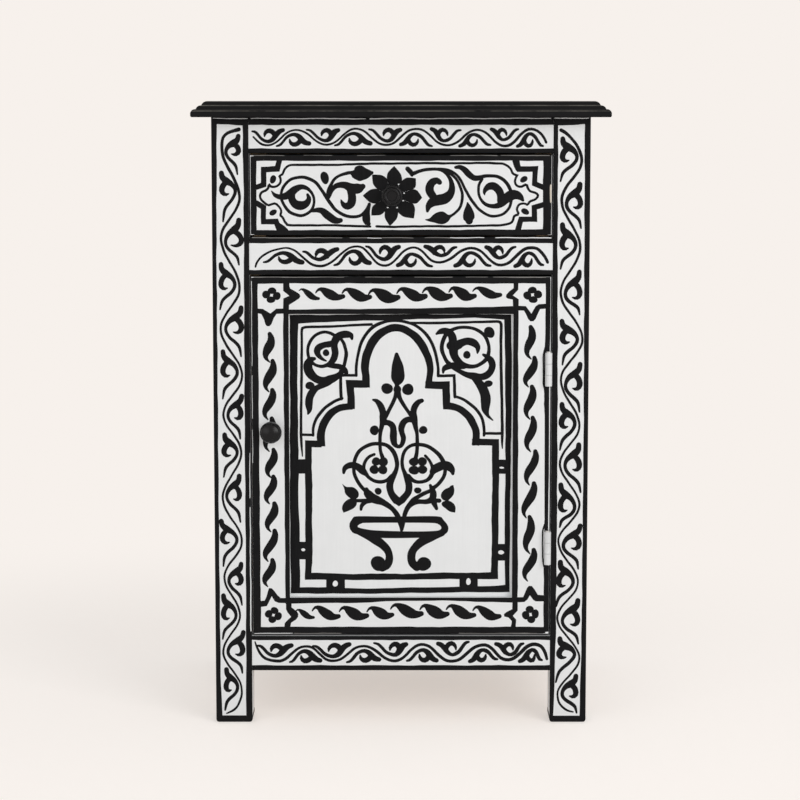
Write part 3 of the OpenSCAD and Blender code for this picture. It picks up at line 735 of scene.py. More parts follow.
# A leaf of the upright vines, head up, in a bend that opens to the right, and its curl
LEAF = [(8.8, 18.2, 4.4), (7.8, 13, 5.2), (3.8, 8.4, 6.6), (-1.4, 4.4, 4.6), (-4.6, -1.6, 3.1),
        (-4.5, -7.5, 2.9), (-1.2, -12.6, 2.9), (3.2, -16.2, 2.9), (6.8, -20.5, 2.7), (8.2, -28, 1.3)]
LEAF_HOOK = [(4.6, 6.6, 4.8), (8.5, 2.6, 5), (10.1, -2.8, 5), (8.3, -6.8, 4.2), (4.8, -8.3, 2.8),
             (1.3, -7.5, 1)]
# Heights in it of the tail's tip, the lowest point of the curl and the top of the head
LEAF_HEIGHTS = (-28.7, -9.5, 20.8)
# Places across it of the line between head and tail, of the curl's root and of its far side
LEAF_SPINE = 8.5
HOOK_ROOT = 4.2
HOOK_REACH = 12.4
# From the line between head and tail to the middle of the vine that the leaf bends along
TO_VINE = 17.9
# A leaf of the level vines under a crest, head to the right, and its curl
LEVEL_LEAF = [
    (-20.6, -16.3, 1.4), (-17, -15.4, 2.1), (-13.3, -11.6, 2.3), (-10, -7.6, 2.4), (-6, -4.9, 2.6),
    (-1.5, -4, 3), (3, -6, 4.2), (6, -10, 5.1), (8.8, -13.4, 4.9), (12, -15, 4.1), (13.6, -15.3, 3.7),
]
LEVEL_HOOK = [(5, -9, 3.4), (4.4, -12.4, 4.2), (1.6, -14.9, 4.1), (-1.6, -15.5, 3.8), (-4.5, -14, 3.1),
              (-5.9, -11.6, 2.2), (-6, -10, 1)]
# Leaves that point the other way have a fuller tail and a leaner body
LEVEL_FULLER = 1.15
LEVEL_LEANER = 0.86
# Places in it of the tail's tip, the middle of the curl and the end of the head
LEVEL_PLACES = (-21, -1.9, 15.2)
# How far below the crest its tail and its head come, and how far the leaf keeps from the vine
LEVEL_TAIL, LEVEL_HEAD, LEVEL_GAP = 16.3, 15.4, 4
# Width of the upright vines by height, and at their lower ends
VINE_HEIGHTS = (0, 200, 400, 520, 600)
VINE_WIDTHS = (1.6, 1.8, 1.95, 2.25, 2.9)
VINE = 1.7


def upright_vine(painting, vine, on):
    """A vine up a post with a leaf in the hollow of each turn. A leaf is stretched so that its
    head, its tail and its curl come where they are set, and so that its bend follows the vine."""
    path = waves([(row[1], row[0]) for row in vine["turns"]])[:, ::-1]
    width = np.interp(path[:, 1], VINE_HEIGHTS, VINE_WIDTHS)
    path = np.vstack([vine["start"], np.column_stack([path, width]), vine["end"]])
    painting.stroke(on(path), step=3.0)
    for turn_x, turn_z, head_x, head_z, tail_x, tail_z, hook_x, hook_z in vine["turns"]:
        opens = 1 if head_x > turn_x else -1

        def spine(z):
            return np.interp(z, (tail_z, head_z), (tail_x, head_x))
        wide = abs(spine(turn_z) - turn_x) / TO_VINE
        reach = (opens * (hook_x - spine(hook_z)) / wide + LEAF_SPINE - HOOK_ROOT) / (
            HOOK_REACH - HOOK_ROOT)
        for part, far in ((LEAF, 1.0), (LEAF_HOOK, min(max(reach, 0.7), 1.5))):
            u, v, width = np.array(part, float).T * [[1], [1], [vine["bold"]]]
            u = HOOK_ROOT + (u - HOOK_ROOT) * far
            z = np.interp(v, LEAF_HEIGHTS, (tail_z, hook_z, head_z))
            x = spine(z) + opens * (u - LEAF_SPINE) * wide
            painting.stroke(on(np.column_stack([x, z, width])), step=2.2, steady=0.6)


def level_vine(painting, vine, shift=0.0):
    """A vine along a rail, with a leaf under every crest and one upside down over every trough,
    each stretched so that its tail, its curl and its head come where they are set. A turn also
    has the vine's width there and the leaf's distance from it."""
    turns = [(row[0] + shift, row[1]) for row in vine["turns"]]
    full = [row for row in vine["turns"] if len(row) > 2]
    path = waves(turns, fuller=0.3)
    width = np.interp(path[:, 0] - shift, [row[0] for row in full], [row[7] for row in full])
    path = np.column_stack([path, width])
    low, high = vine["cut"]
    path = path[(path[:, 0] > low + shift) & (path[:, 0] < high + shift)]
    for end, before in (("start", True), ("end", False)):
        more = np.array(vine[end], float).reshape(-1, 3) + (shift, 0, 0)
        path = np.vstack([more, path] if before else [path, more])
    painting.stroke(path, step=3.0)
    for _, turn_z, tail_x, tail_z, hook_x, head_x, head_z, _, gap in full:
        for part in (LEVEL_LEAF, LEVEL_HOOK):
            u, v, width = np.array(part, float).T
            width = width * vine["bold"]
            if tail_x > head_x:
                width = width * np.where((part is LEVEL_LEAF) & (u < -5), LEVEL_FULLER,
                                         LEVEL_LEANER)
            x = shift + np.interp(u, LEVEL_PLACES, (tail_x, hook_x, head_x))
            tall = np.interp(u, LEVEL_PLACES[::2], ((turn_z - tail_z) / LEVEL_TAIL,
                                                    (turn_z - head_z) / LEVEL_HEAD))
            z = turn_z + v * tall
            if part is LEVEL_LEAF:
                z -= np.sign(tall) * (gap - LEVEL_GAP) * np.interp(
                    u, (-17, -6, 3, 9), (0, 1, 1, 0))
            painting.stroke(np.column_stack([x, z, width]), step=2.2, steady=0.6)


def quatrefoil(painting, u, v, half_wide, half_tall, turn=0.0):
    """Four oval petals that meet at their sides and leave a small gap in the middle."""
    side, end = 0.42 * half_wide, 0.41 * half_tall
    c, s = math.cos(math.radians(turn)), math.sin(math.radians(turn))
    petals = ((half_wide - side, 0, side, 0.5 * half_tall),
              (0, half_tall - end, 0.47 * half_wide, end))
    for way in (1, -1):
        for du, dv, ru, rv in petals:
            painting.dot(u + way * (du * c - dv * s), v + way * (du * s + dv * c), ru, rv, turn)


# Posts

# Turning points of each vine, and at each the leaf's head, tail and curl
LEFT_VINE = {
    "bold": 1.0,
    "start": [(-162.9, 611.7, 3.4), (-169.3, 609.9, 2.8), (-175, 607.2, 2.5),
              (-179.2, 602.4, 2.7)],
    "turns": [
        (-180.2, 592.5, -163.9, 606.7, -164.7, 566, -161.9, 585.5),
        (-162.8, 543.2, -180.7, 570, -180, 518, -182.4, 545.3),
        (-182.1, 502.4, -164.3, 523, -163.9, 474.6, -158.6, 493),
        (-163.9, 451.1, -182.1, 478, -184.3, 429, -183.5, 449.6),
        (-183.7, 410, -162.9, 433.9, -162.7, 381, -160.3, 404.7),
        (-162.3, 362.1, -181.3, 389, -182.7, 337.6, -183.6, 360.4),
        (-181.7, 321.7, -163.1, 343.3, -164.6, 296.4, -163.9, 316.9),
        (-163.9, 283, -180.3, 303.3, -182.4, 256.9, -183.6, 278.3),
        (-183.5, 236, -166.7, 261, -165.3, 210, -164.6, 232.6),
        (-164.4, 190.7, -185, 214, -183.9, 164, -184.9, 187.7),
        (-182.7, 152.7, -165.6, 169, -164.6, 123.4, -163.9, 144.9),
        (-166.9, 113.3, -183.4, 136.3, -185.3, 87.7, -185.6, 108.4),
        (-184.9, 75.3, -164.1, 97.7, -164.9, 52, -163.4, 70.6),
        (-166.3, 35.8, -181.3, 58.4, -183.9, 12.7, -182.7, 32.7)],
    "end": [(-166.6, 28.2, VINE), (-168.8, 21.4, VINE), (-171.4, 16.6, VINE), (-175.2, 13, 1.8),
            (-181.8, 9.9, 1)],
}
RIGHT_VINE = {
    "bold": 1.08,
    "start": [(162.1, 611, 3.4), (165.9, 608.9, 2.8), (171.6, 603.9, 2.5), (177.1, 596.7, 2.5),
              (181.2, 588.4, 2.7)],
    "turns": [
        (182.9, 580.9, 164.3, 604.3, 161.4, 558.9, 162.1, 578.9),
        (162.8, 540.5, 180.7, 558.9, 182.9, 511.7, 184, 531.7),
        (181.9, 493, 164.3, 518, 161.7, 470.3, 161.7, 490),
        (162.4, 446.7, 180.7, 470.3, 182, 424, 184, 440),
        (184.7, 398.8, 164, 419.7, 164, 372.6, 162.3, 394.7),
        (162.8, 358.2, 181.9, 376, 182.3, 324, 184, 346.9),
        (181.9, 310.1, 164.7, 334.7, 161.9, 284.7, 161.4, 307.6),
        (162.3, 271, 181.1, 293.3, 184, 241, 181.9, 263.3),
        (182.6, 228, 163.7, 251.9, 162, 205, 161.9, 221),
        (161, 191.1, 183, 209, 181.9, 161.3, 183, 181.7),
        (181.3, 147.6, 163.7, 171.3, 158.7, 122, 162.3, 142.7),
        (160.2, 110.4, 180.9, 131.3, 182.3, 82.7, 180.9, 102),
        (183.4, 68, 163.7, 90.6, 158.7, 42, 162.3, 67.7),
        (160.9, 30, 179.4, 51.3, 180.9, 9.9, 179.4, 26.3)],
    "end": [(161.6, 24, VINE), (163.6, 19.6, VINE), (166.8, 16, VINE), (171, 13.2, 1.8),
            (177, 11.4, 1)],
}
# How wide the borders are, by height: at the outer corner and at the inner one
LEFT_BORDERS = (((6, 6.2), (50, 4.9), (200, 4.4), (490, 4.3), (624, 5.8)),
                ((6, 6.6), (50, 6.2), (150, 5.7), (300, 5.9), (550, 5.2), (624, 5.9)))
RIGHT_BORDERS = (((6, 6.4), (60, 5.4), (100, 4.9), (300, 4.6), (500, 5.5), (624, 6.2)),
                 ((6, 4), (60, 5.3), (100, 6), (250, 6.3), (400, 5.7), (500, 4.8), (624, 4.5)))
# Radius of the lower edges of the posts, and the height of their black feet
FOOT_ROUND = 4.0
FOOT = 7.4
# How far round the outer corner its border starts, and how far it comes where no face shows
CORNER_START = -4.6
CORNER_EDGE = 0.9
# How low the black under the top comes, and how low at the far edge of a face
UNDER_BORDER, UNDER_CORNER = 617, 615.4


def post_borders(painting, front_face, borders):
    """Black up the outer corner and round on to the side, up the far edge of each face, and
    under the top."""
    def column(from_u, widths, sign, base, wavy):
        z = np.array(widths)[:, 0]
        painting.band(np.column_stack([np.full(len(z), from_u), z]),
                      np.column_stack([base + sign * np.array(widths)[:, 1], z]),
                      wavy=wavy, across=16, step=9.0)
    level = ((6, 0), (UNDER_TOP, 0))
    if front_face:
        column(CORNER_START, borders[0], 1, 0, (True, True))
        column(POST + 1, borders[1], -1, POST, (False, True))
    else:
        column(CORNER_START, level, 1, CORNER_EDGE, (True, False))
    column(-POST + 0.3, level, 1, -POST + 5, (False, True))
    ways = [-POST + 0.3, -1.5, 0, 1.5, (POST if front_face else CORNER_EDGE) - 0.3]
    lower = [UNDER_BORDER] * 4 + [UNDER_CORNER]
    painting.band([(u, UNDER_TOP) for u in ways], list(zip(ways, lower)), step=4.0, across=2)


def foot_band(painting, name):
    """The black foot of a post: a grid round the post and up its height, whose section is the
    post's square, less where the lower edges are rounded, grown by the paint. The last rings,
    inside the wood, close it, and it keeps inside the back of the cabinet."""
    low, high = box_of(name)
    middle = (low + high) / 2
    lift = painting.lift
    z = np.array([FOOT, FOOT - 0.1, FOOT - 0.6, 5, 4, 3.2, 2.4, 1.7, 1.1, 0.6, 0.25])
    out = np.where(z < FOOT, lift, -SINK) - fall(z, FOOT_ROUND)
    z, out = np.r_[z, 0.25, 4.0][:, None], np.r_[out, -3.4, -0.6][:, None]
    corner = np.radians([0, 22.5, 45, 67.5, 90])
    starts = np.repeat([0, 90, 180, 270], len(corner))
    angle = np.tile(corner, 4) + np.radians(starts)
    radius = np.clip(POST_EASE - 2.9 * fall(z, FOOT_ROUND), 0.2, POST_EASE)
    centre = (high[0] - low[0]) / 2 + out - radius
    quarter = np.radians(starts + 45)
    x = middle[0] + centre * np.sign(np.cos(quarter)) + radius * np.cos(angle)
    y = middle[1] + centre * np.sign(np.sin(quarter)) + radius * np.sin(angle)
    y = np.minimum(y, BACK - 0.02)
    z = np.repeat(z, len(angle), 1)
    z[:3] += 0.35 * np.sin(angle * 3 + painting.rng.uniform(0, 6))
    painting.keep(np.stack([x, y, z], -1), grid(*x.shape))


def round_corner(points, side):
    """Points of the front, turned into ways from a post's outer corner: inwards over its front
    (side 1) or back over its outer side (side -1)."""
    p = np.array(points, float)
    x = p[:, 0] - LEAN * (p[:, 1] - LEVEL_LINE)
    p[:, 0] = side * (HALF_WIDTH - np.abs(x))
    return p


def paint_post(name, side, facing, seed):
    """Paints one post: its front face where it has one to show, and its outer side."""
    painting = Painting("painting_" + name, on_post(name, side, facing), seed)
    post_borders(painting, facing < 0, LEFT_BORDERS if side < 0 else RIGHT_BORDERS)
    own, other = (LEFT_VINE, RIGHT_VINE) if side < 0 else (RIGHT_VINE, LEFT_VINE)
    if facing < 0:
        upright_vine(painting, own, lambda p: round_corner(p, 1))
    upright_vine(painting, other, lambda p: round_corner(p, -1))
    foot_band(painting, name)
    painting.finish("root")


# Rails

# Turning points of each vine, and at each the leaf's tail, the middle of its curl and its head
RAIL_VINES = {
    "rail_front_top": {
        "bold": 1.04, "cut": (-146, 133), "start": [(-148.3, 604.2, 1.2)],
        "end": [(137, 610.6, 2.3), (141.8, 607, 2.3), (145.2, 602.6, 2.3), (147.2, 598.8, 2.2)],
        "turns": [
            (-161, 612.5),
            (-135, 595.5, -149.7, 609.7, -133.6, -117, 611, 1.65, 4.2),
            (-105, 611.3, -125.2, 594.8, -108, -90.5, 597.5, 1.45, 4.8),
            (-74.3, 596.2, -95, 611.3, -75.5, -61.5, 611, 1.7, 4.4),
            (-45, 612.4, -66.6, 595.6, -47.6, -28.4, 597.6, 1.55, 4.8),
            (-15, 596, -32, 611.6, -13, 1.1, 611.3, 1.95, 4.2),
            (15.6, 612.2, 32, 595, 13.9, -1, 596.5, 1.7, 5),
            (47.1, 595.8, 61, 611, 43.8, 30, 612.3, 1.8, 4.2),
            (78, 611, 91, 596, 73.6, 58.7, 595, 1.85, 4.4),
            (105.4, 595.2, 119, 611.8, 103.5, 90.6, 611.8, 2.3, 5.9),
            (132.4, 612.1, 144, 595, 130.4, 117, 594.8, 2.35, 4.5),
            (155, 595)]},
    "rail_front_middle": {
        "bold": 1.13, "cut": (-118, 133),
        "start": [(-147.5, 473, 1.3), (-145.6, 478, 1.6), (-139, 484.9, 1.6),
                  (-129, 490, 1.5)],
        "end": [(137.5, 491.8, 2.8), (142.6, 488, 2.8), (146.4, 482.8, 2.7), (148.8, 477.6, 2.6)],
        "turns": [
            (-117, 492.2, -139.4, 477.6, -119.3, -98, 477.6, 1.45, 5.4),
            (-83, 473.8, -99.4, 488.4, -82.8, -62.7, 491, 2.15, 6.5),
            (-44, 493.5, -67.9, 474.8, -47.7, -30, 476.8, 1.55, 4.2),
            (-17, 474.4, -35.6, 493.7, -17.1, -0.6, 493.2, 2.05, 5.5),
            (12.8, 492.5, 32, 473.5, 10.7, -4.5, 474.4, 1.6, 5.8),
            (38.2, 477.5, 56.6, 493, 41, 23.2, 493.7, 2.25, 6.7),
            (72.5, 492, 91.3, 474, 70.8, 53.5, 474, 2.1, 4.2),
            (101.9, 474.7, 116.5, 493, 99.8, 85.3, 493.2, 2.35, 6.7),
            (132, 492.5, 144.7, 474.8, 129.6, 114.7, 473.5, 2.9, 4.8),
            (155, 475)]},
    "rail_front_bottom": {
        "bold": 1.22, "cut": (-132, 138),
        "start": [(-152, 85, 1), (-150, 79.5, 1.9), (-146.5, 73, 2.3), (-140.5, 67.2, 2.45)],
        "end": [(143.8, 80.2, 3.2), (147.5, 74.5, 3), (149.6, 67.2, 2.5)],
        "turns": [
            (-128.6, 65, -149.4, 81.3, -131.5, -112.7, 81.3, 2.7, 5.2),
            (-99, 80.4, -116.3, 63.7, -100.9, -83.2, 65.6, 2.2, 5),
            (-71.4, 65, -92.4, 80.6, -71.4, -52.9, 82.6, 2.25, 4.5),
            (-39.5, 80.7, -57.4, 63.7, -39.3, -22.4, 66.5, 2.3, 5.2),
            (-7.5, 65, -29.2, 83.9, -7.8, 5.2, 82.6, 2.7, 5.6),
            (20.7, 82.5, 4.7, 65.2, 21.8, 36.9, 65.6, 2.45, 5.6),
            (50.6, 64.5, 69.2, 85, 52, 35.8, 83.4, 3, 6),
            (84, 82, 98.7, 66.8, 83.4, 68.9, 64.5, 2.8, 5.3),
            (108.7, 66.1, 125.6, 83.4, 111.8, 95.8, 82.9, 3.2, 5.2),
            (137, 82.6, 144.7, 66, 135, 120.5, 64.5, 3.2, 5.4)]},
}
RAIL_BORDERS = {
    "rail_front_top": (588, 592.5, 616, 624),
    "rail_front_middle": (465, 470, 497, 503),
    "rail_front_bottom": (55, 60.5, 87, 91.5),
}


def rail_borders(painting, like, start, end):
    """Borders along the lower and the upper edge of a rail."""
    low, lower, upper, high = RAIL_BORDERS[like]
    for edge, inner in ((low, lower), (high, upper)):
        painting.band([(start, edge), (end, edge)], [(start, inner), (end, inner)])


def paint_front_rail(name, seed):
    """Paints a front rail: a border above and below, and a vine with leaves between."""
    half = HALF_WIDTH - POST
    place = on_front([name], ends_eased=False, window=(-half, half, *RAIL_BORDERS[name][::3]))
    painting = Painting("painting_" + name, place, seed)
    rail_borders(painting, name, -half - 2, half + 2)
    level_vine(painting, RAIL_VINES[name])
    painting.finish("root")


def between_posts():
    """How far back a side's rails and panel begin and end."""
    return box_of("post_front_left")[1][1], box_of("post_back_left")[0][1]


def paint_side_rail(name, side, like, seed):
    """Paints a side rail with the first turns of the front rail's vine."""
    low, high = box_of(name)
    front, back = between_posts()
    place = on_side(name, side, (front, back, low[2], high[2]))
    painting = Painting("painting_" + name, place, seed)
    rail_borders(painting, like, front - 3, back + 3)
    vine = dict(RAIL_VINES[like])
    shift = front + HALF_WIDTH - POST
    kept = [row for row in vine["turns"] if row[0] + shift < back - 20]
    after = vine["turns"][len(kept)][:2]
    vine.update(turns=kept + [after], end=[], cut=(vine["cut"][0], back - shift - 5))
    level_vine(painting, vine, shift)
    painting.finish("root")


# Corner steps of a side panel's thin line: places from the panel's corner
PANEL_STEPS = [(14, 39), (23, 39), (23, 23), (39, 23), (39, 14)]
# How far in from the corner its flower is, and half its width
FLOWER_IN, FLOWER_HALF = 17.5, 6.2


def paint_side_panel(name, side, seed):
    """Paints a side panel, which the photograph doesn't show: a black border, a thin line inside
    it that steps round a flower in each corner."""
    y0, y1 = between_posts()
    z0, z1 = box_of("rail_left_bottom")[1][2], box_of("rail_left_top")[0][2]
    painting = Painting("painting_" + name, on_side(name, side, (y0, y1, z0, z1), 0.01), seed)
    borders = [[(y0 + inset, z0 + inset), (y1 - inset, z0 + inset), (y1 - inset, z1 - inset),
                (y0 + inset, z1 - inset)] for inset in (1.5, 8)]
    painting.band(*borders, closed=True, wavy=(True, True), across=3)
    corners = []
    for cy, cz, sy, sz in ((y0, z0, 1, 1), (y1, z0, -1, 1), (y1, z1, -1, -1), (y0, z1, 1, -1)):
        corners += [(cy + sy * p, cz + sz * q) for p, q in PANEL_STEPS[::sy * sz]]
        quatrefoil(painting, cy + sy * FLOWER_IN, cz + sz * FLOWER_IN, FLOWER_HALF, FLOWER_HALF)
    painting.stroke(with_width(corners, 2.2), step=8, smooth=False, closed=True)
    painting.finish("root")


# Drawer

DRAWER_STROKES = [
    # The left scroll and the vine that leaves it
    [(-130.4, 549.4, 0.8), (-127, 545.6, 3.6), (-121.5, 543.6, 5), (-115.5, 544.7, 6.6),
     (-110.5, 547.8, 7.5), (-106, 551.8, 6.4), (-100.5, 554, 4.8), (-94, 552.2, 3.2), (-89.8, 547.6, 2.5),
     (-87.6, 542, 2.4), (-87.8, 536, 2.4), (-91, 529.8, 2.4), (-97, 526, 2.5), (-103.5, 525.2, 2.6),
     (-112, 528.3, 2.6), (-118, 535.5, 2.5), (-121.2, 544.5, 2.5), (-118.8, 553.5, 2.5),
     (-111.5, 560.8, 2.5), (-101, 563.6, 2.6), (-92, 561.8, 2.7), (-85, 557.4, 2.8), (-79.6, 550.6, 2.9),
     (-75, 543.4, 3.2), (-71.2, 537.2, 3.2), (-66, 530.8, 2.9), (-58.5, 525.8, 2.7), (-49.5, 523.4, 2.6),
     (-41, 525, 2.6), (-35.5, 530, 2.5), (-32.2, 535.8, 2.8)],
    [(-110, 547, 6.4), (-110.2, 541.5, 7.1), (-106.7, 536.8, 8.5), (-101, 535.2, 8.7),
     (-95.7, 537.3, 6.9), (-93, 542, 4.4), (-94, 546, 2.4)],
    [(-90, 529.8, 2.6), (-84, 530.7, 4.4), (-79, 529.6, 5.8), (-74, 525, 7.5), (-68.5, 521, 7.1),
     (-64, 519.6, 5.6), (-61, 519.9, 4.4)],
    # The second scroll, with its leaf
    [(-73.5, 544, 4.6), (-72.5, 550, 4.4), (-70.5, 556, 3), (-67, 561.5, 2.6), (-61, 565.6, 2.6),
     (-54, 567.6, 3), (-50, 568, 3.2), (-47.5, 567, 8.1), (-44.5, 567.2, 13.3), (-40.5, 567.3, 14.8),
     (-36, 567.2, 11.6), (-32, 567.8, 7.1), (-29, 568.2, 2.8)],
    [(-71.5, 545, 2.2), (-69.7, 550, 3), (-66, 554.5, 4.6), (-61, 556.1, 5.8), (-56, 555.6, 7.1),
     (-51, 553.2, 9.1), (-46, 551.8, 9.8), (-41.5, 552.4, 8.9), (-38.2, 554.2, 5)],
    [(-52, 553, 6.4), (-50, 548, 7.5), (-49.3, 542, 7.9), (-50.3, 537, 8.1), (-53.8, 534.5, 7.3),
     (-57.5, 535.5, 5), (-59.8, 538.5, 2.6), (-60.6, 540.6, 0.8)],
    [(-31.7, 536.4, 2.8), (-33, 531, 3.4), (-34.6, 526, 6.6), (-34.9, 521, 7.5), (-33.6, 517.8, 6.2),
     (-32.2, 516.6, 3.2)],
    # From the flower to the right: the line that splits in three
    [(7, 571.8, 4.4), (10.4, 568.6, 4.6), (11.6, 566, 3.2)],
    [(13, 567.3, 3.6), (20, 570.3, 2.7), (28, 571.6, 2.7), (36, 571.6, 2.6), (43, 569.6, 2.6),
     (47.5, 565.5, 2.8), (50.8, 560, 4.2), (51.8, 553, 6), (50, 546.5, 8.1), (45, 542, 9.6),
     (39, 540.5, 10.2), (33, 539, 9.1), (28.6, 535, 6.4), (27, 529.5, 2.4)],
    [(33, 544, 7.1), (29.8, 549, 7.7), (29.6, 554, 7.7), (32, 558.5, 7.3), (36.5, 560, 5.8),
     (39.2, 558.3, 4.6)],
    [(45, 569.6, 2), (51, 566.4, 2.3), (56, 561.8, 2.3), (60, 555, 2.3), (62.4, 547, 2.4), (62, 539, 2.4),
     (59.4, 532, 2.4), (55, 527.4, 2.4), (50, 524.4, 2.8), (47.3, 523.2, 7.5), (44, 522.8, 11.6),
     (41, 522.9, 12.7), (37, 522.4, 11), (34, 521.6, 7.9), (31, 520.6, 4.4), (28, 520.4, 2),
     (25.4, 520.7, 0.6)],
    [(38, 571.8, 2), (46, 571.4, 2.2), (52, 569, 2.4), (57.5, 565, 2.4), (62, 558.5, 2.4),
     (66, 550.5, 2.4), (71, 541.5, 2.4), (77, 533.5, 2.4), (84, 527.5, 2.4), (91, 524.4, 2.4),
     (97, 524.4, 2.4), (104, 527, 2.4), (109.5, 532.5, 2.4), (112, 540, 2.2)],
    [(55.8, 573.6, 2.8), (60, 573.6, 4.2), (65, 570.6, 5.4), (69.5, 566, 5.8), (74, 562.8, 5.2),
     (79, 562.8, 4.6), (85, 564.6, 3), (92, 565.2, 2.8), (98, 564.4, 3), (104, 561.2, 3.2),
     (108.3, 556, 3.2), (111, 551, 3)],
    [(82.5, 561.5, 2.4), (79.3, 556, 2.4), (78.6, 549.5, 2.4), (80.2, 543, 2.4), (84, 537.6, 2.8),
     (90, 534.6, 3.4), (96.5, 534.4, 4.6), (102, 537.2, 6.4), (107, 542.4, 8.9), (112.5, 545.8, 9.8),
     (118, 545.4, 8.5), (122, 542.8, 5.4), (123.6, 540.6, 2.8)],
    [(101.3, 540, 7.1), (101, 546, 7.1), (98.8, 551, 7.3), (94.5, 554.6, 7.5), (89.5, 554.6, 6.9),
     (85.8, 551.6, 5), (84.6, 548.2, 2.8), (85, 546, 0.8)],
    [(67.6, 537.4, 1.6), (68.6, 532.5, 6.4), (69, 526.5, 10.6), (69, 522, 10.4), (69.4, 519.8, 7.1)],
]
DRAWER_DABS = [(-129, 561.5, 2.9, 4.2, -15), (-129.2, 528, 4, 2.6, 35), (124.6, 561.5, 4.1, 2.7, 28),
               (126, 529, 4.3, 2.7, -32), (-76.7, 563, 4.1, 6.2, 10)]
DRAWER_BRACKETS = [
    [(-122, 581), (-124.5, 572), (-138.5, 571.5), (-138.5, 556), (-146, 553.5)],
    [(-146, 537.5), (-138.8, 533.3), (-138.8, 518.8), (-126.3, 518.8), (-122.5, 509)],
    [(116.2, 581), (119.8, 572), (136, 571.8), (135.3, 557), (145, 553)],
    [(145, 536), (135.5, 533), (135.5, 521.2), (121.8, 521.2), (118, 509)],
]
DRAWER_LINE = [
    (-24.5, 513.9), (-10, 513.7), (30, 514), (70, 514.4), (98, 515), (110, 517), (113.5, 520),
    (115, 524.5), (119, 526.5), (117.5, 531), (120, 536), (125, 537), (128.5, 535.5), (131, 539),
    (136.5, 541.5), (139, 545), (137, 547.5), (131, 549.5), (128.5, 553), (127, 556), (122, 553.8),
    (117.5, 555), (115.5, 559), (117, 564), (118.5, 565.3), (113.5, 567.5), (111, 572.5), (106, 576.2),
    (98, 577.6), (60, 577.8), (20, 577.6), (-20, 577.4), (-60, 576.3), (-106, 575.8), (-112.5, 575.4),
    (-116.6, 572.6), (-118.8, 568.2), (-120, 566.2), (-122.6, 565), (-121.4, 562), (-121.5, 558.4),
    (-124, 555.4), (-128, 554), (-131.4, 554.4), (-133.2, 556.2), (-133.8, 552.8), (-136.4, 550.2),
    (-140, 548.4), (-142, 545), (-141, 541), (-137.5, 537.6), (-134, 535.4), (-131, 536), (-127, 537),
    (-123.8, 534.6), (-121.4, 531), (-121.4, 527), (-122.4, 525.4), (-119.6, 523), (-118, 519.6),
    (-116, 517), (-112, 515.4), (-80, 515), (-60, 514.8), (-40, 514.2), (-31, 514.1),
]
FLOWER_MIDDLE = (-9, 545)
FLOWER_TIPS = [(-6.4, 575), (15.4, 562.6), (21.8, 543), (13.4, 522), (-11, 514.3), (-29.8, 525),
               (-38.4, 545), (-28.8, 566.3)]
FLOWER_VALLEYS = [(-14, 562.3), (1.5, 560.3), (12.8, 551.6), (12.4, 537), (-2.5, 528), (-16, 529),
                  (-25.3, 537), (-24, 552)]
FLOWER_HEART = 12.2


def star_flower(painting):
    """The flower round the drawer knob. A petal bulges on its way from one valley to its tip,
    and again on the way to the next valley."""
    middle = np.array(FLOWER_MIDDLE, float)
    tips, valleys = np.array(FLOWER_TIPS, float), np.array(FLOWER_VALLEYS, float)
    for tip, one, two in zip(tips, valleys, np.roll(valleys, -1, 0)):
        out = (tip - middle) / np.hypot(*(tip - middle))
        over = np.array([-out[1], out[0]])
        sides = []
        for valley in (one, two):
            across = np.sign(np.dot(valley - middle, over)) * over
            bulge = valley + 0.42 * (tip - valley) + 2.3 * across
            sides.append([middle + 2.5 * out + 0.8 * across,
                          middle + 0.8 * (valley - middle), valley, bulge,
                          valley + 0.75 * (tip - valley) + 1.4 * across, tip])
        painting.shape(sides[0], sides[1][::-1])
    painting.dot(*FLOWER_MIDDLE, FLOWER_HEART, count=36)


def paint_drawer(seed):
    """Paints the drawer front: border, corner brackets, the thin line inside them, the flower
    and the scrolls on either side of it."""
    painting = Painting("painting_drawer_front", on_front(["drawer_front"]), seed)
    low, high = box_of("drawer_front")
    painting.band(
        [(low[0] - 1, low[2]), (high[0] + 1, low[2]), (high[0] + 1, high[2]),
         (low[0] - 1, high[2])],
        [(-146, 510.1), (144, 511), (144, 580.2), (-145.6, 580)], closed=True)
    for points in DRAWER_BRACKETS:
        painting.stroke(with_width(points, 5), step=5.0, smooth=False)
    painting.stroke([(-126.5, 519, 4), (-124.5, 515, 5.5), (-121, 511, 8), (-118, 508, 9)])
    painting.stroke([(119, 572, 5), (117.6, 576, 6.4), (116.4, 581, 7)])
    painting.stroke(with_width(DRAWER_LINE, 1.9), step=2.0)
    for points in DRAWER_STROKES:
        painting.stroke(points)
    for dab in DRAWER_DABS:
        painting.dot(*dab)
    star_flower(painting)
    painting.finish("drawer")


# Door

# A sprig of the rails from its thin tip on the left to its blunt end, and its length
RAIL_SPRIG = [(0.6, 0.2, 0.9), (2.5, 3, 1.9), (5, 4.7, 2.8), (8, 4.4, 5), (11.5, 2.6, 8.4),
              (16, 0.1, 10.8), (21, -2, 10.4), (26, -2.6, 7), (31.2, -1.2, 4.6)]
RAIL_SPRIG_LONG = 33.6
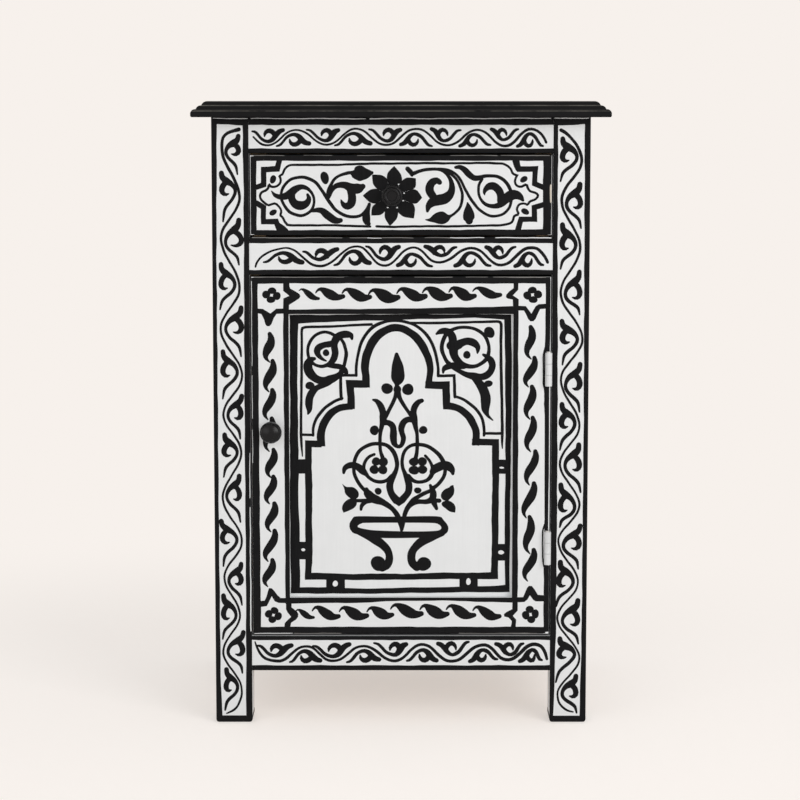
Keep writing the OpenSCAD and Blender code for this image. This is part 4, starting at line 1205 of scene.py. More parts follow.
# Tip and end of each sprig, and how bold it is
TOP_SPRIGS = [
    (-103.7, 448.9, -82.4, 440, 0.55), (-87.3, 446.6, -56.6, 442.6, 0.88),
    (-60.2, 446, -29.5, 442, 0.96), (-33.7, 444.7, -0.6, 441.8, 1.04), (-4.7, 445.8, 27, 443, 1),
    (21.3, 446.6, 52.6, 443.2, 1), (48.2, 447.3, 76.8, 443, 0.98), (72.7, 448, 103, 444.4, 0.8),
]
BOTTOM_SPRIGS = [
    (-109.8, 117.4, -90, 110.4, 0.55), (-92.9, 117.7, -63.4, 111.7, 0.93),
    (-65, 116.9, -34, 112.4, 0.98), (-36.5, 116.6, -8.2, 113.6, 0.93),
    (-12.3, 119.6, 22.4, 114.6, 1.05), (18, 119, 49, 114, 1.02), (45.5, 119, 76.5, 113, 1),
    (72.9, 118, 102.6, 111.7, 0.95),
]
# A sprig of the stiles from its head down to its thin tail, and its length
STILE_SPRIG = [(0, -2, 4), (1.3, -6, 6.2), (0.8, -12, 8.2), (-2.2, -18, 8), (-4.2, -23, 5.8),
               (-3.4, -27.5, 3), (0, -31, 0.8)]
STILE_SPRIG_LONG = 31.3
# Head and tail of each sprig
LEFT_SPRIGS = [
    (-133.6, 406.5, -134.1, 375.3), (-130.7, 379.1, -135.3, 344.9), (-131.5, 349.1, -136.4, 316.6),
    (-132.4, 320, -135.5, 283.6), (-130.7, 287.4, -133.9, 256.3), (-131, 259.6, -135.7, 229.4),
    (-130.5, 231.8, -134.5, 200.2), (-130, 203.7, -137.7, 169.3), (-132.7, 172.8, -138.3, 143),
]
RIGHT_SPRIGS = [
    (131.9, 413.8, 132.6, 378.7), (136.5, 382.2, 129.6, 350), (133.5, 352.7, 131.4, 316.9),
    (134.4, 320.9, 132.2, 283.3), (137.4, 286.2, 131, 248.8), (136.3, 253.2, 127.9, 214.6),
    (131.4, 218.4, 131.9, 177.1), (136.3, 183.7, 129.3, 148.6),
]
# Pointed crossings beside each corner square: outline of the black
CROSSINGS = [
    [(-119.7, 458), (-119.7, 448.5), (-113.5, 443.5), (-119.6, 440.8), (-120, 429), (-114, 429),
     (-113.8, 434.2), (-108, 437.8), (-103.2, 441), (-102.2, 443.2), (-103.2, 445.4), (-107, 448),
     (-112.3, 450.8), (-113.2, 453), (-113.3, 458)],
    [(-147, 430.6), (-140.5, 430.2), (-132.8, 425.5), (-127, 430.4), (-119, 430.6), (-119, 425.4),
     (-126.6, 425), (-129.5, 420.6), (-131.8, 414.6), (-134, 412.4), (-136.6, 412.6), (-138.2, 414.6),
     (-139.4, 419.4), (-142, 424.8), (-147, 426)],
    [(119.4, 458), (119.2, 449.6), (113.8, 444), (119.8, 440), (119.6, 430), (114, 430), (113.6, 439.6),
     (108.6, 440.6), (106.7, 442), (107, 444.6), (109.8, 447.8), (114.4, 451.4), (114.5, 458)],
    [(118.5, 433.4), (127, 433), (132.6, 425.4), (137, 433), (140, 435), (148, 435.5), (148, 430.4),
     (141.6, 430), (139.6, 426), (137, 420), (134.8, 417.6), (131.8, 417.4), (129.4, 419.6), (127, 425),
     (125, 428.4), (118.5, 428.5)],
    [(-147, 121.6), (-139.4, 122.6), (-137.4, 126.4), (-134.2, 133), (-131, 127.6), (-127, 126),
     (-119, 125.8), (-119, 131.2), (-125, 131.2), (-128.2, 134.2), (-131.4, 138.6), (-134, 141.4),
     (-137, 141.6), (-138, 138.6), (-139.4, 133.4), (-141.4, 128.6), (-147, 128)],
    [(-121.6, 100), (-121, 105), (-117.5, 108.6), (-114.4, 111.4), (-118, 116), (-119.6, 119.4),
     (-119.6, 127), (-113.8, 127), (-113.8, 121.4), (-108.4, 117.2), (-106.8, 114.4), (-107.2, 111.4),
     (-109.4, 108.4), (-114.4, 105.2), (-115.4, 100)],
    [(148, 127.6), (138, 127.6), (135.4, 129.2), (132, 134), (129.5, 129.6), (126.4, 127), (118, 126.6),
     (118, 132), (125, 132.2), (126.6, 136), (129, 141.8), (131, 144), (134, 143.8), (137, 140),
     (140.2, 134.6), (148, 134)],
    [(117.4, 100), (118, 108.4), (114.5, 112.5), (119.5, 118), (119.5, 128), (114, 128), (113.8, 119.6),
     (108, 116.6), (105.2, 114.2), (105.6, 111.8), (110, 110.6), (113.4, 107), (113, 104), (112, 100)],
]
# Low and high ends of the lines beside the two hinges
HINGE_LINES = [(352, 386), (167, 203)]
DOOR_FRAME = ["door_stile_knob", "door_stile_hinge", "door_rail_top", "door_rail_bottom"]
CORNER_FLOWERS = [(-131.6, 444.1, 9.4, 7.8, -8), (133.9, 444.4, 9.4, 8.2, 6),
                  (-132.6, 113.3, 8.7, 8.3, -14), (132.7, 113.9, 8.6, 9.1, 8)]


def paint_door_frame(seed):
    """Paints the door's frame: borders, the four corner squares with a flower in each, and the
    chains of sprigs along its rails and stiles."""
    painting = Painting("painting_door_frame", on_front(DOOR_FRAME), seed)
    low, high = box_of(*DOOR_FRAME)
    # Above the lower hinge the outer border leaves the edge of the hinge stile white
    white_edge = 151.1
    painting.band(
        [(low[0] - 1, low[2]), (high[0] + 1, low[2]), (high[0] + 1, 164.4), (white_edge, 166.6),
         (white_edge - 0.5, 206), (white_edge - 0.4, 235), (white_edge, 260), (white_edge, 349),
         (white_edge + 0.4, 388), (white_edge + 0.9, 404), (white_edge + 1, high[2]),
         (low[0] - 1, high[2])],
        [(-145.5, 101), (146.2, 101), (146, 164.4), (146, 166.6), (146.4, 206), (147, 216),
         (146.4, 320), (145.6, 349), (145.8, 388), (147, 404), (147, 456), (-145.5, 456)],
        closed=True)
    opening = [upright(u, v) for u, v in (
        (-114.4, 131.6), (-40, 131.6), (0, 131.6), (50, 131.6), (114.4, 131.6),
        (114.4, 424.9), (50, 424.9), (0, 424.9), (-114.4, 424.9))]
    painting.band(opening, [(-120, 125.4), (-40, 126.2), (0, 128.3), (50, 128.3), (119.5, 126),
                            (119.5, 433), (50, 431.6), (0, 430.6), (-120, 429.6)], closed=True)
    for outline in CROSSINGS:
        painting.shape(outline + outline[:1], smooth=False)
    for flower in CORNER_FLOWERS:
        quatrefoil(painting, *flower)
    for tip_u, tip_v, end_u, end_v, bold in TOP_SPRIGS + BOTTOM_SPRIGS:
        u, v, width = np.array(RAIL_SPRIG).T
        part = u / RAIL_SPRIG_LONG
        drop = end_v - tip_v - bold * RAIL_SPRIG[-1][1]
        sprig = np.column_stack([tip_u + (end_u - tip_u) * part, tip_v + v * bold + drop * part,
                                 width * bold])
        painting.stroke(sprig, step=2.2, steady=0.7)
    for head_u, head_v, tail_u, tail_v in LEFT_SPRIGS + RIGHT_SPRIGS:
        u, v, width = np.array(STILE_SPRIG).T
        part = -v / STILE_SPRIG_LONG
        sprig = np.column_stack([head_u + (tail_u - head_u) * part + u,
                                 head_v + (tail_v - head_v) * part, width])
        painting.stroke(sprig, step=2.2, steady=0.7)
    for low_z, high_z in HINGE_LINES:
        painting.stroke([(147.4, low_z - 5, 1.8), (145.6, low_z, 1.2), (144.9, low_z + 6, 0.9),
                         (144.9, high_z - 6, 0.9), (145.6, high_z, 1.2),
                         (147.4, high_z + 5, 1.8)])
    painting.finish("door")


# The part of the door panel that shows, and the two edges of its border
PANEL_WINDOW = (-114.6, 114.6, 131.4, 425.1)
PANEL_INNER = [
    (-104.8, 142.3), (-80, 142.8), (-45, 141), (0, 142), (55, 143), (90, 143.8), (106.3, 145),
    (105.6, 200), (106.3, 250), (106.5, 300), (106, 360), (105.2, 419.5), (75, 421), (35, 420),
    (0, 419), (-30, 418.3), (-55, 417.3), (-85, 416.5), (-104.3, 414.8), (-105.6, 390), (-105.8, 330),
    (-105.2, 285), (-105.8, 235), (-104.8, 200),
]
PANEL_OUTER = [
    (-114.4, 136), (-80, 135.8), (-45, 135.6), (0, 136.2), (55, 137), (90, 137.2), (110.9, 137.4),
    (111.4, 200), (111.7, 250), (112.5, 300), (113, 360), (112.2, 424.6), (75, 424.8), (35, 424.8),
    (0, 424.8), (-30, 424.6), (-55, 424.4), (-85, 424.2), (-113.1, 424), (-113.6, 390), (-113.7, 330),
    (-114.3, 285), (-114.7, 235), (-114.7, 200),
]
ARCH = [(-96.5, 150.8, 6.3), (-95.5, 180, 6.7), (-95.3, 230, 6.6), (-95.2, 291.8, 6.5),
        (-81.8, 291.8, 6.5)]
ARCH_LEFT = [
    (-81.8, 289, 7.4), (-82.3, 300, 7.5), (-81.3, 307, 7.4), (-78.8, 314, 7.3), (-74.5, 320.5, 7.2),
    (-68.5, 325.8, 7), (-62, 328.8, 6.8), (-55, 330, 6.5), (-50, 330.2, 6.5),
]
ARCH_STEP_LEFT = [(-51.3, 327.5, 7), (-51.3, 340, 6.8), (-52.2, 353.3, 7.2), (-34.5, 353.3, 7.6)]
ARCH_TOP = [
    (-36, 349.6, 7.4), (-36, 360, 7.6), (-36.7, 370, 7.8), (-35.7, 380, 8.2), (-32.5, 390, 8),
    (-27, 399.5, 8), (-20, 406, 7.8), (-12, 409.8, 7.5), (-4, 410.8, 7.3), (4, 408.8, 7.3),
    (12, 404, 7.4), (18, 398, 7.4), (23.3, 390, 7.4), (27.2, 381, 7), (29.3, 372, 6.6),
    (29.3, 364, 6.2), (28.3, 356, 6.6), (27.9, 348.8, 7),
]
ARCH_STEP_RIGHT = [(24.6, 352.2, 7.2), (45.8, 352.2, 7.2), (46, 340, 7), (46.3, 327.6, 7)]
ARCH_RIGHT = [(42.9, 330.9, 6.6), (51, 330.5, 6.6), (57, 329, 6.8), (63, 325.5, 7), (69, 319.5, 7.3),
              (73.5, 312, 7.2), (76.2, 305, 6.8), (76.5, 299, 6.6), (75.8, 290.2, 7)]
ARCH_FOOT = [(72.4, 293.3, 6.6), (96.5, 293.3, 6.5), (96.4, 250, 6.6), (96, 200, 6.4), (95.6, 154.5, 6.6),
             (50, 154.4, 6.2), (0, 153.5, 5.8), (-50, 153.3, 6), (-99.8, 154, 6.6)]
PANEL_LINES = [
    # Thin line that follows the border at the left, and steps over the arch
    [(-101.5, 279, 0.8), (-102.2, 290, 2), (-102.6, 305, 2.2), (-102.4, 330, 2.3), (-101.6, 360, 2.2),
     (-101.3, 390, 2.2), (-101, 408, 2.2), (-99, 411, 2.2), (-94, 411.7, 2.2), (-75, 412, 2.1),
     (-50, 413.5, 2.2), (-30, 414.3, 2.3)],
    [(8, 415.8, 2.1), (30, 415.8, 2.2), (60, 416.2, 2.2), (85, 417, 2.2), (98, 417.3, 2.3),
     (101.5, 415.5, 2.5), (102, 410, 2.5), (101.6, 395, 2.6), (102, 370, 2.6), (102.6, 340, 2.6),
     (103, 320, 2.6), (103.3, 305, 2.6), (103.2, 294, 1.8), (103.3, 287, 0.7)],
    [(-46, 362, 2.4), (-45.8, 372, 2.5), (-44.2, 382, 2.6), (-41.8, 392, 2.7), (-38.3, 400, 2.8),
     (-31.5, 409, 2.8), (-25.5, 413.5, 3), (-18, 416.6, 2.7), (-10, 418.1, 2.6), (-4, 418.3, 2.6),
     (3, 417.3, 2.6), (10, 415.2, 2.5), (16, 412.3, 2.5), (22, 407.8, 2.6), (28, 401, 2.7),
     (33.3, 390.5, 2.8), (36.2, 380, 2.7), (37.6, 370, 2.6), (37.7, 361.7, 2.6)],
    [(-90.3, 300.5, 2.4), (-90, 308, 2.5), (-88, 315, 2.5), (-84, 322, 2.6), (-78, 328.8, 2.7),
     (-71, 333.8, 2.7), (-66, 336.5, 2.6), (-60.5, 338.6, 2.5)],
    [(54.8, 340.5, 2.4), (60, 339, 2.5), (65, 336.5, 2.6), (70, 333, 2.6), (75, 328.8, 2.6),
     (79, 324, 2.6), (82.3, 318, 2.6), (84.1, 311, 2.6), (84.7, 304, 2.6), (84.5, 300.5, 2.4)],
]
PANEL_RULED = [
    [(-102.5, 301, 2.2), (-90.3, 301, 2.2)],
    [(-61, 338, 2.8), (-61.8, 350, 2.8), (-62, 362.3, 2.6), (-46, 362.3, 2.4)],
    [(37.7, 361.8, 2.6), (53.8, 361.8, 2.6), (54.2, 352, 2.6), (54.8, 340, 2.6)],
    [(84.5, 302.5, 2.4), (103, 302.5, 2.4)],
]
# Scrolls in the two corners over the arch
LEFT_SPANDREL = [
    [(-67, 402.5, 3.1), (-72, 405.3, 2.6), (-79, 406.4, 2.5), (-86, 404, 2.6), (-91, 399.4, 2.7),
     (-94.3, 393, 2.7), (-95.2, 386, 2.7), (-94, 379, 3.1)],
    [(-50, 399.8, 2.5), (-51, 402.8, 5.3), (-55, 404.2, 6.8), (-60, 403.6, 7), (-65, 400.8, 7.2),
     (-67.8, 396, 7), (-68, 391, 6.4), (-67.2, 385, 6.4), (-68.8, 379, 6.4), (-73, 374.2, 4.7),
     (-79, 371.7, 3.5), (-84, 371.8, 2.9), (-88.5, 373.4, 2.7), (-91.5, 376, 3.1)],
    [(-68.5, 396, 5.3), (-73, 394, 6.4), (-78, 393.3, 5.6), (-83.5, 391, 6.4), (-85.7, 387, 6),
     (-84.2, 382.5, 4.5), (-80.5, 379, 2.9), (-76.5, 377, 1.1)],
    [(-61.5, 399.8, 2.5), (-58.3, 395, 3.1), (-56.6, 389, 3.1), (-55.9, 384, 3.5), (-56.8, 378, 3.1),
     (-58.2, 372, 3.1)],
    [(-75, 372.6, 4.1), (-68, 371.8, 5.3), (-62.5, 371, 5.3), (-58.5, 368.8, 5.3), (-56.2, 365.3, 4.5),
     (-55.6, 362.6, 1.9)],
    [(-88.5, 379.2, 3.1), (-92, 378, 5.9), (-95, 373.5, 8.7), (-94.6, 367.5, 9.3), (-91, 361.8, 9.1),
     (-85.5, 358, 7.5), (-79, 356.6, 7.2), (-72.5, 358, 8.1), (-66.5, 360.6, 6.4), (-62, 364, 5.1),
     (-60.3, 369, 4.1)],
    [(-68, 360, 4.1), (-74, 355.5, 6.9), (-80, 352.3, 6), (-86, 349.5, 5.3), (-90.5, 345.5, 6.6),
     (-93.6, 339.5, 7.2), (-94.2, 332.5, 7), (-94, 326.5, 4.9), (-95.3, 322.6, 1.5)],
]
RIGHT_SPANDREL = [
    [(50, 408, 3.2), (57, 410.6, 2.8), (66, 411.3, 2.6), (74, 410, 2.8), (81, 406.5, 3), (86, 401.5, 3.2),
     (89, 394.5, 3.2), (89.6, 388, 3.2), (88.5, 381.5, 3.6)],
    [(36.2, 404.8, 1.9), (40, 407, 4.9), (44.5, 407.8, 5.8), (49, 406, 6.9), (52, 402, 7.5),
     (53, 396, 8.4), (53.2, 390, 9.7), (54, 383, 8), (57, 377.5, 7.3), (62, 373.3, 6.2), (70, 371.3, 3.9),
     (77, 372, 3.2), (83, 375.3, 3.2), (87.5, 379.5, 4.2)],
    [(51, 392.5, 9.1), (57, 393, 9.6), (62, 395.5, 8), (68, 397.2, 7.5), (74, 395.5, 7.3),
     (78, 391.5, 5.3), (78.2, 387.5, 3.2), (77.8, 385, 1.2)],
    [(46, 405, 4.2), (43.5, 400, 3.6), (41.7, 394, 3.5), (41.5, 388.5, 3.6), (43.5, 382.5, 3.2),
     (46.5, 376.5, 3.5), (49, 374.5, 3.6)],
    [(64, 371.5, 5.3), (57, 372, 6.9), (50, 372, 6.2), (44.5, 369.6, 5.1), (43, 367, 3.2),
     (42.8, 365, 1.8)],
    [(83.8, 383.3, 2.2), (87, 381.5, 4.2), (91, 378, 6.4), (93, 372.5, 6.6), (91.3, 366.5, 6.9),
     (87, 362, 6.9), (81, 360.4, 6.4), (74, 361.2, 6.9), (66, 363.2, 5.1), (59, 366.6, 3.9),
     (53, 370, 3.2)],
    [(70, 362.5, 3.2), (75, 359, 6.3), (79.5, 354, 8.2), (83.5, 348, 9.1), (85.8, 341, 9.7),
     (86.2, 334, 9.1), (86, 327.5, 7.1), (88.2, 321.5, 3.2), (91, 318.3, 1.9), (93.5, 316, 0.8)],
]
SPANDREL_DABS = [(-76.5, 385.3, 3.3, 3.3), (-93.2, 351.6, 4.8, 3.7, 5), (67, 383.2, 3.5, 4, -12),
                 (90, 406.3, 5, 5.8, 30), (89, 353.7, 4.4, 3.1, 5)]
# The plant in the arch, from its drop down to the bowl
PLANT_DABS = [
    (-14.5, 348.6, 5.7, 5.5), (6.8, 347.7, 5.9, 5.6), (-4, 347.8, 4, 4), (-27.6, 305.6, 4.6, 4.8),
    (22.3, 305.9, 4.4, 3.8, 10), (-26, 273.4, 4.4, 4.1), (-18.6, 273, 4.6, 4.7), (-28, 265, 4.7, 4.4),
    (-19.2, 264.8, 4.5, 4.7), (12.8, 273.2, 5, 4.3), (21.4, 273.3, 4.7, 4.4), (12.8, 264.4, 5.2, 4.6),
    (21.5, 265, 4.7, 4.4), (-24, 242.6, 3.5, 3.4), (16.6, 243.4, 3.6, 3.2),
]
PLANT = [
    [(-4.6, 383.6, 3.5), (-4.4, 380, 6.2), (-4, 374, 10.3), (-3.6, 367, 13.5), (-3.4, 361.5, 13.9),
     (-3.8, 356.5, 11), (-4.4, 352.5, 4.2)],
    [(-4.6, 345, 4.9), (-6.5, 339, 3.8), (-10.5, 330.5, 3.4), (-14, 323.5, 3.4), (-17, 317.5, 3.5)],
    [(-3.2, 345, 4.9), (-1, 338, 3.8), (3, 331, 3.4), (7.3, 324.5, 3.4), (11, 319.5, 3.8)],
    [(-28.6, 337, 1.9), (-25.3, 335.8, 4.2), (-21.6, 331.5, 6), (-19, 325.5, 6.6), (-18.3, 319, 7.4),
     (-19.6, 312, 4.7), (-21.2, 305, 3.4), (-21.9, 298, 3.1), (-21.9, 290, 3.2), (-21.4, 283.5, 3.1),
     (-19.4, 277.5, 3.8)],
    [(21, 336.2, 3.8), (17.5, 334.6, 4.9), (13.8, 330, 5.8), (12.3, 324.5, 6), (12.8, 318, 6.4),
     (14.4, 310, 4.7), (15.9, 303, 3.5), (16.3, 296, 3.4), (16.2, 289, 3.4), (15.8, 282.5, 3.4),
     (14.6, 277, 3.9)],
    [(-18, 313.5, 5.4), (-13.5, 313.6, 5.4), (-9.2, 310.5, 6.2), (-8, 304.5, 6.6), (-8.2, 298, 6.6),
     (-7.3, 292.5, 5.4), (-4.8, 289.4, 3.4), (-1.4, 289, 3.4), (1, 291.8, 4.2), (2.2, 297.5, 4.8),
     (0.7, 303, 5.1), (-0.1, 308, 6), (2.2, 313.8, 6.4), (6.8, 316.8, 6), (12, 316.5, 5.4)],
    # Left ring and the heart's left half
    [(-34, 240.5, 4.2), (-38, 243.8, 3.4), (-42.5, 249, 3.2), (-46.5, 255.5, 3.1), (-48.7, 262.5, 3.1),
     (-48.7, 270, 3.1), (-47.2, 277, 3.2), (-43.8, 283.3, 3.4), (-38, 288, 3.4), (-30.5, 291.2, 3.4),
     (-23, 291.8, 3.4), (-15.5, 290.3, 3.5), (-9.8, 285.8, 3.8), (-6, 279, 3.9), (-4.5, 271, 3.9),
     (-5.6, 264.5, 4.2), (-8.4, 258.5, 5.4), (-11, 253, 6.6), (-12.2, 247.5, 6.9), (-10.8, 241, 6.8),
     (-7.6, 236, 7), (-4.2, 232, 7.4), (-2.7, 228.3, 1.9)],
    # Right ring and the heart's right half
    [(44.8, 268, 3.1), (44.6, 262, 3.4), (43, 257, 3.4), (40, 252.6, 3.4), (36.4, 248.9, 3.4),
     (32.5, 246, 4.2)],
    [(43.5, 271.5, 4.2), (41, 276.6, 3.8), (37, 281.8, 3.5), (31, 286.8, 3.5), (24.5, 290, 3.4),
     (17, 291, 3.4), (10.4, 290.2, 3.2), (5.2, 286.6, 3.1), (2, 281, 2.9), (0.8, 273.5, 2.9),
     (1.4, 266.5, 3.1), (3.8, 260.5, 4.2), (6.5, 254, 6.4), (7.7, 247.5, 6.6), (6.5, 241.3, 6.8),
     (2.8, 236.3, 7), (-0.6, 232.3, 6.8), (-2.5, 228.3, 1.9)],
    # Inner rings and the leaves that cross them
    [(-27.8, 280.7, 2.5), (-33, 278.2, 2.9), (-37, 273.6, 3.1), (-38.7, 268, 3.1), (-37.6, 262, 3.5),
     (-33.2, 256.6, 3.1), (-27.2, 253, 3.1), (-21, 252.2, 3.1), (-15, 254, 3.1), (-10, 258.3, 4.2)],
    [(-59.2, 261.8, 2.5), (-58, 266.3, 4.7), (-53.5, 269.3, 5.8), (-48, 269.2, 6.8), (-43, 266.6, 7.4),
     (-39.3, 263, 7), (-35.5, 259.5, 3.5)],
    [(24.5, 279.3, 2.5), (28.3, 275, 2.6), (31, 269.5, 3.1), (31.8, 264, 3.4), (30.4, 259, 4.2),
     (27, 254.7, 3.4), (22, 252.5, 3.1), (16, 252.2, 3.1), (11, 254.2, 3.5), (6.8, 258, 4.9)],
    [(32, 263, 6.4), (34, 265.5, 8.5), (38.5, 268, 8.3), (43.5, 269.6, 8.1), (48.3, 268.2, 8.5),
     (51.8, 264.5, 5.8), (52.6, 260.8, 2.8)],
    # Left stem down into the bowl, and its side shoots
    [(-36, 244.5, 3.8), (-35, 241, 7.4), (-31, 236.5, 9.1), (-25.5, 233.7, 8.1), (-19.5, 231.2, 6.4),
     (-14, 227.8, 5.4), (-9, 223.7, 4.9), (-5, 218.5, 4.9), (-2.3, 212, 4.7), (-0.8, 206, 3.1),
     (-0.2, 201, 2.1)],
    [(-41.6, 223.6, 2.4), (-40.6, 228, 3.8), (-37, 231.3, 4.2), (-32, 233, 5.4)],
    [(-47.5, 233, 3.5), (-41, 232.8, 3.5), (-34, 232.6, 4.2)],
    # Right stem and its side shoots
    [(29.7, 248.6, 2.8), (31.3, 245, 4.9), (32.6, 240, 6.2), (31.3, 234.4, 6.2), (26, 231.9, 4.7),
     (20, 231.8, 4.2), (14, 231.6, 5.4), (9.8, 229.6, 5.4), (6.5, 226, 4.9), (4, 221, 4.5),
     (2.5, 215, 4.2), (1.5, 209, 3.8), (0.4, 202.5, 2.5)],
    [(30, 243.3, 3.8), (22.5, 240, 3.8), (16.5, 236.6, 3.9), (12, 233, 4.9), (8, 228.5, 4.2)],
    [(31.5, 234, 5.1), (33.6, 229.5, 4.9), (35.8, 224.6, 3.1)],
    [(32, 232.9, 3.9), (38.8, 232.7, 3.8)],
    # The bowl's two feet
    [(-44, 199.5, 4.2), (-36, 196.6, 7), (-27, 192, 8.9), (-19.5, 186.6, 7.8), (-14.2, 180, 7.2),
     (-12.7, 172.8, 7.6), (-15, 165.8, 8.1), (-20, 162.6, 7.4)],
    [(42, 198.2, 4.2), (34, 196, 7), (25, 192.6, 9.1), (17.4, 187.8, 8.9), (11.8, 181.5, 7.6),
     (9.8, 175, 7.8), (11, 168.3, 7.8), (15.5, 163.3, 7.4)],
]
PLANT_SHAPES = [
    # Leaves beside the plant, each with one pointed end
    ([(-61, 250.5), (-56.5, 247.2), (-50, 246.9), (-45.6, 243.9), (-43.8, 240), (-44.6, 236.3),
      (-48, 234)],
     [(-48, 234), (-52.8, 235.3), (-56.2, 238.2), (-58.2, 241), (-58.7, 244.8), (-61, 250.5)]),
    ([(-59.6, 220.2), (-61.2, 224), (-60.6, 228), (-58.6, 231.2), (-55.5, 233.8), (-52, 235.2),
      (-48, 235)],
     [(-48, 235), (-45.8, 232), (-46.6, 227.8), (-49.6, 224.6), (-54, 222.4), (-59.6, 220.2)]),
    ([(53.2, 249), (54.2, 244), (53.6, 239.6), (51.5, 236.4), (48, 233)],
     [(48, 233), (44, 232.8), (41.3, 234.8), (40.3, 238), (41.6, 241.8), (44.8, 244.9), (48.6, 246.6),
      (50.8, 248.6), (53.2, 249)]),
    ([(55, 220.3), (55.5, 225), (54.4, 228.6), (51.6, 231.3), (48, 233.2)],
     [(48, 233.2), (44.4, 232.6), (41.2, 230.6), (41.6, 227.6), (45, 224.7), (49.5, 221.4), (55, 220.3)]),
]
# The dabs that the bowl's feet end in
BOWL_FEET = [(-24.3, 167.4, 7.3, 7.9), (22.6, 166.8, 7.4, 7.2)]
BOWL_OUTER = [
    (-46, 216.6), (-10, 216.3), (36, 216.6), (43, 212.6), (47.5, 207), (48, 202), (45.5, 198.4),
    (38, 195.4), (15, 194), (-22, 194), (-44, 197.4), (-50.5, 199.6), (-53.4, 204), (-53.6, 209),
    (-50.5, 214),
]
BOWL_INNER = [
    (-38, 209.6), (-10, 209.8), (30, 209.6), (37.5, 208.3), (40.6, 205.8), (40.4, 203.2), (36, 201.6),
    (22, 200.9), (0, 201), (-28, 202), (-38, 203.4), (-44, 204.8), (-45.8, 206), (-44, 207.8),
    (-41, 209),
]
# Blocks of black between border and arch: low and high corners, and how round they are
KNOTS = [(-108, 260.8, -95, 275.8), (-108, 171.6, -95, 190), (94, 260.6, 109, 275.4),
         (94, 170.3, 109, 187.8), (-78, 139.5, -58.6, 155), (59.3, 139.5, 78.3, 155.5)]
KNOT_ROUND = 3.0
KNOT_HOLES = [(-101.3, 181.7, 2, 1.4), (102.7, 267, 2.4, 0.9), (102.2, 179, 2.9, 2.1),
              (-68.6, 146.3, 2.6, 3), (68.6, 148.4, 2.2, 3.6)]


def on_door_panel():
    """Casts a drawing, set out in the plane of the door's frame, back on to its panel."""
    return on_front(["door_panel"], ease=0.01, back=SET_BACK, window=PANEL_WINDOW)


def rim(points, count=96):
    """A smooth closed line as so many points."""
    line = flow(points, 2.0, True)
    line = even(np.vstack([line, line[:1]]), 1.001)
    return line[np.linspace(0, len(line) - 1, count, endpoint=False).astype(int)]


def paint_door_panel(seed):
    """Paints the door panel: border and stepped arch with the thin line over it, the scrolls in
    the corners and the plant in its bowl."""
    painting = Painting("painting_door_panel", on_door_panel(), seed)
    painting.band(PANEL_OUTER, PANEL_INNER, closed=True, step=9.0, wavy=(True, True), across=3)
    for points in (ARCH, ARCH_STEP_LEFT, ARCH_STEP_RIGHT, ARCH_FOOT):
        painting.stroke(points, step=6.0, smooth=False, rounded=False)
    for points in (ARCH_LEFT, ARCH_TOP, ARCH_RIGHT):
        painting.stroke(points, step=2.4, rounded=False)
    for points in PANEL_LINES + LEFT_SPANDREL + RIGHT_SPANDREL + PLANT:
        painting.stroke(points, steady=0.5)
    for points in PANEL_RULED:
        painting.stroke(points, step=6.0, smooth=False)
    for dab in SPANDREL_DABS + PLANT_DABS:
        painting.dot(*dab)
    for parts in PLANT_SHAPES:
        painting.shape(*parts)
    for foot in BOWL_FEET:
        painting.dot(*foot)
    painting.skin(rim(BOWL_OUTER), rim(BOWL_INNER), inner=2, closed=True)
    for x0, z0, x1, z1 in KNOTS:
        r = KNOT_ROUND
        painting.shape([(x0 + r, z0), (x1 - r, z0), (x1 - 0.3 * r, z0 + 0.3 * r), (x1, z0 + r),
                        (x1, z1 - r), (x1 - 0.3 * r, z1 - 0.3 * r), (x1 - r, z1), (x0 + r, z1),
                        (x0 + 0.3 * r, z1 - 0.3 * r), (x0, z1 - r), (x0, z0 + r),
                        (x0 + 0.3 * r, z0 + 0.3 * r), (x0 + r, z0)], smooth=False)
    painting.finish("door")


def paint_drawer_touches(seed):
    """A chip at the drawer's right edge, down to the ground coat, specks of white that the
    black missed round the knob, and the grey lines of the drawer, partly scuffs and partly
    painted highlight."""
    place = on_front(["drawer_front"])
    chip = Painting("painting_drawer_chip", place, seed)
    points = [upright(*p) for p in ((151.4, 538.6), (151.5, 541), (151.5, 553), (151.4, 555.6))]
    chip.stroke(np.column_stack([points, [1.1, 1.8, 1.7, 1]]), step=2.0, over=OVER)
    chip.finish("drawer", "primer_coat")
    specks = Painting("painting_drawer_specks", place, seed + 1)
    for u, v in ((-2, 556.5), (3.5, 547.5), (2.5, 540), (-3.5, 533), (-13, 533)):
        specks.dot(u, v, 0.8, 0.6, over=OVER)
    specks.finish("drawer", "white_paint_across")
    paint_scuff_and_sheen_lines("drawer", place, seed + 2)


def wear_and_highlight_lines(painting, lines):
    """Adds thin lines that keep upright to a painting: lines of wear and painted highlight."""
    for points in lines:
        straight = [(*upright(u, v), width) for u, v, width in points]
        painting.stroke(straight, step=6.0, over=OVER)


def paint_scuff_and_sheen_lines(body, place, seed):
    """The grey lines of one body, partly scuffs and partly painted highlight."""
    painting = Painting("painting_scuff_and_sheen_lines_" + body, place, seed)
    wear_and_highlight_lines(painting, GREY_SCUFF_AND_SHEEN_LINES[body])
    painting.finish(body, "scuff_and_sheen_paint")


def paint_door_touches(seed):
    """White and grey lines on the edges of the door, partly wear and partly painted highlight,
    and white left inside the knots of the panel."""
    edges = Painting("painting_door_wear_and_highlight_lines", on_front(DOOR_FRAME), seed + 1)
    wear_and_highlight_lines(edges, DOOR_WEAR_AND_HIGHLIGHT_LINES)
    edges.finish("door", "white_paint_across")
    paint_scuff_and_sheen_lines("door", on_front(DOOR_FRAME), seed + 2)
    painting = Painting("painting_knot_holes", on_door_panel(), seed)
    for hole in KNOT_HOLES:
        painting.dot(*hole, over=OVER)
    painting.finish("door", "white_paint_up")


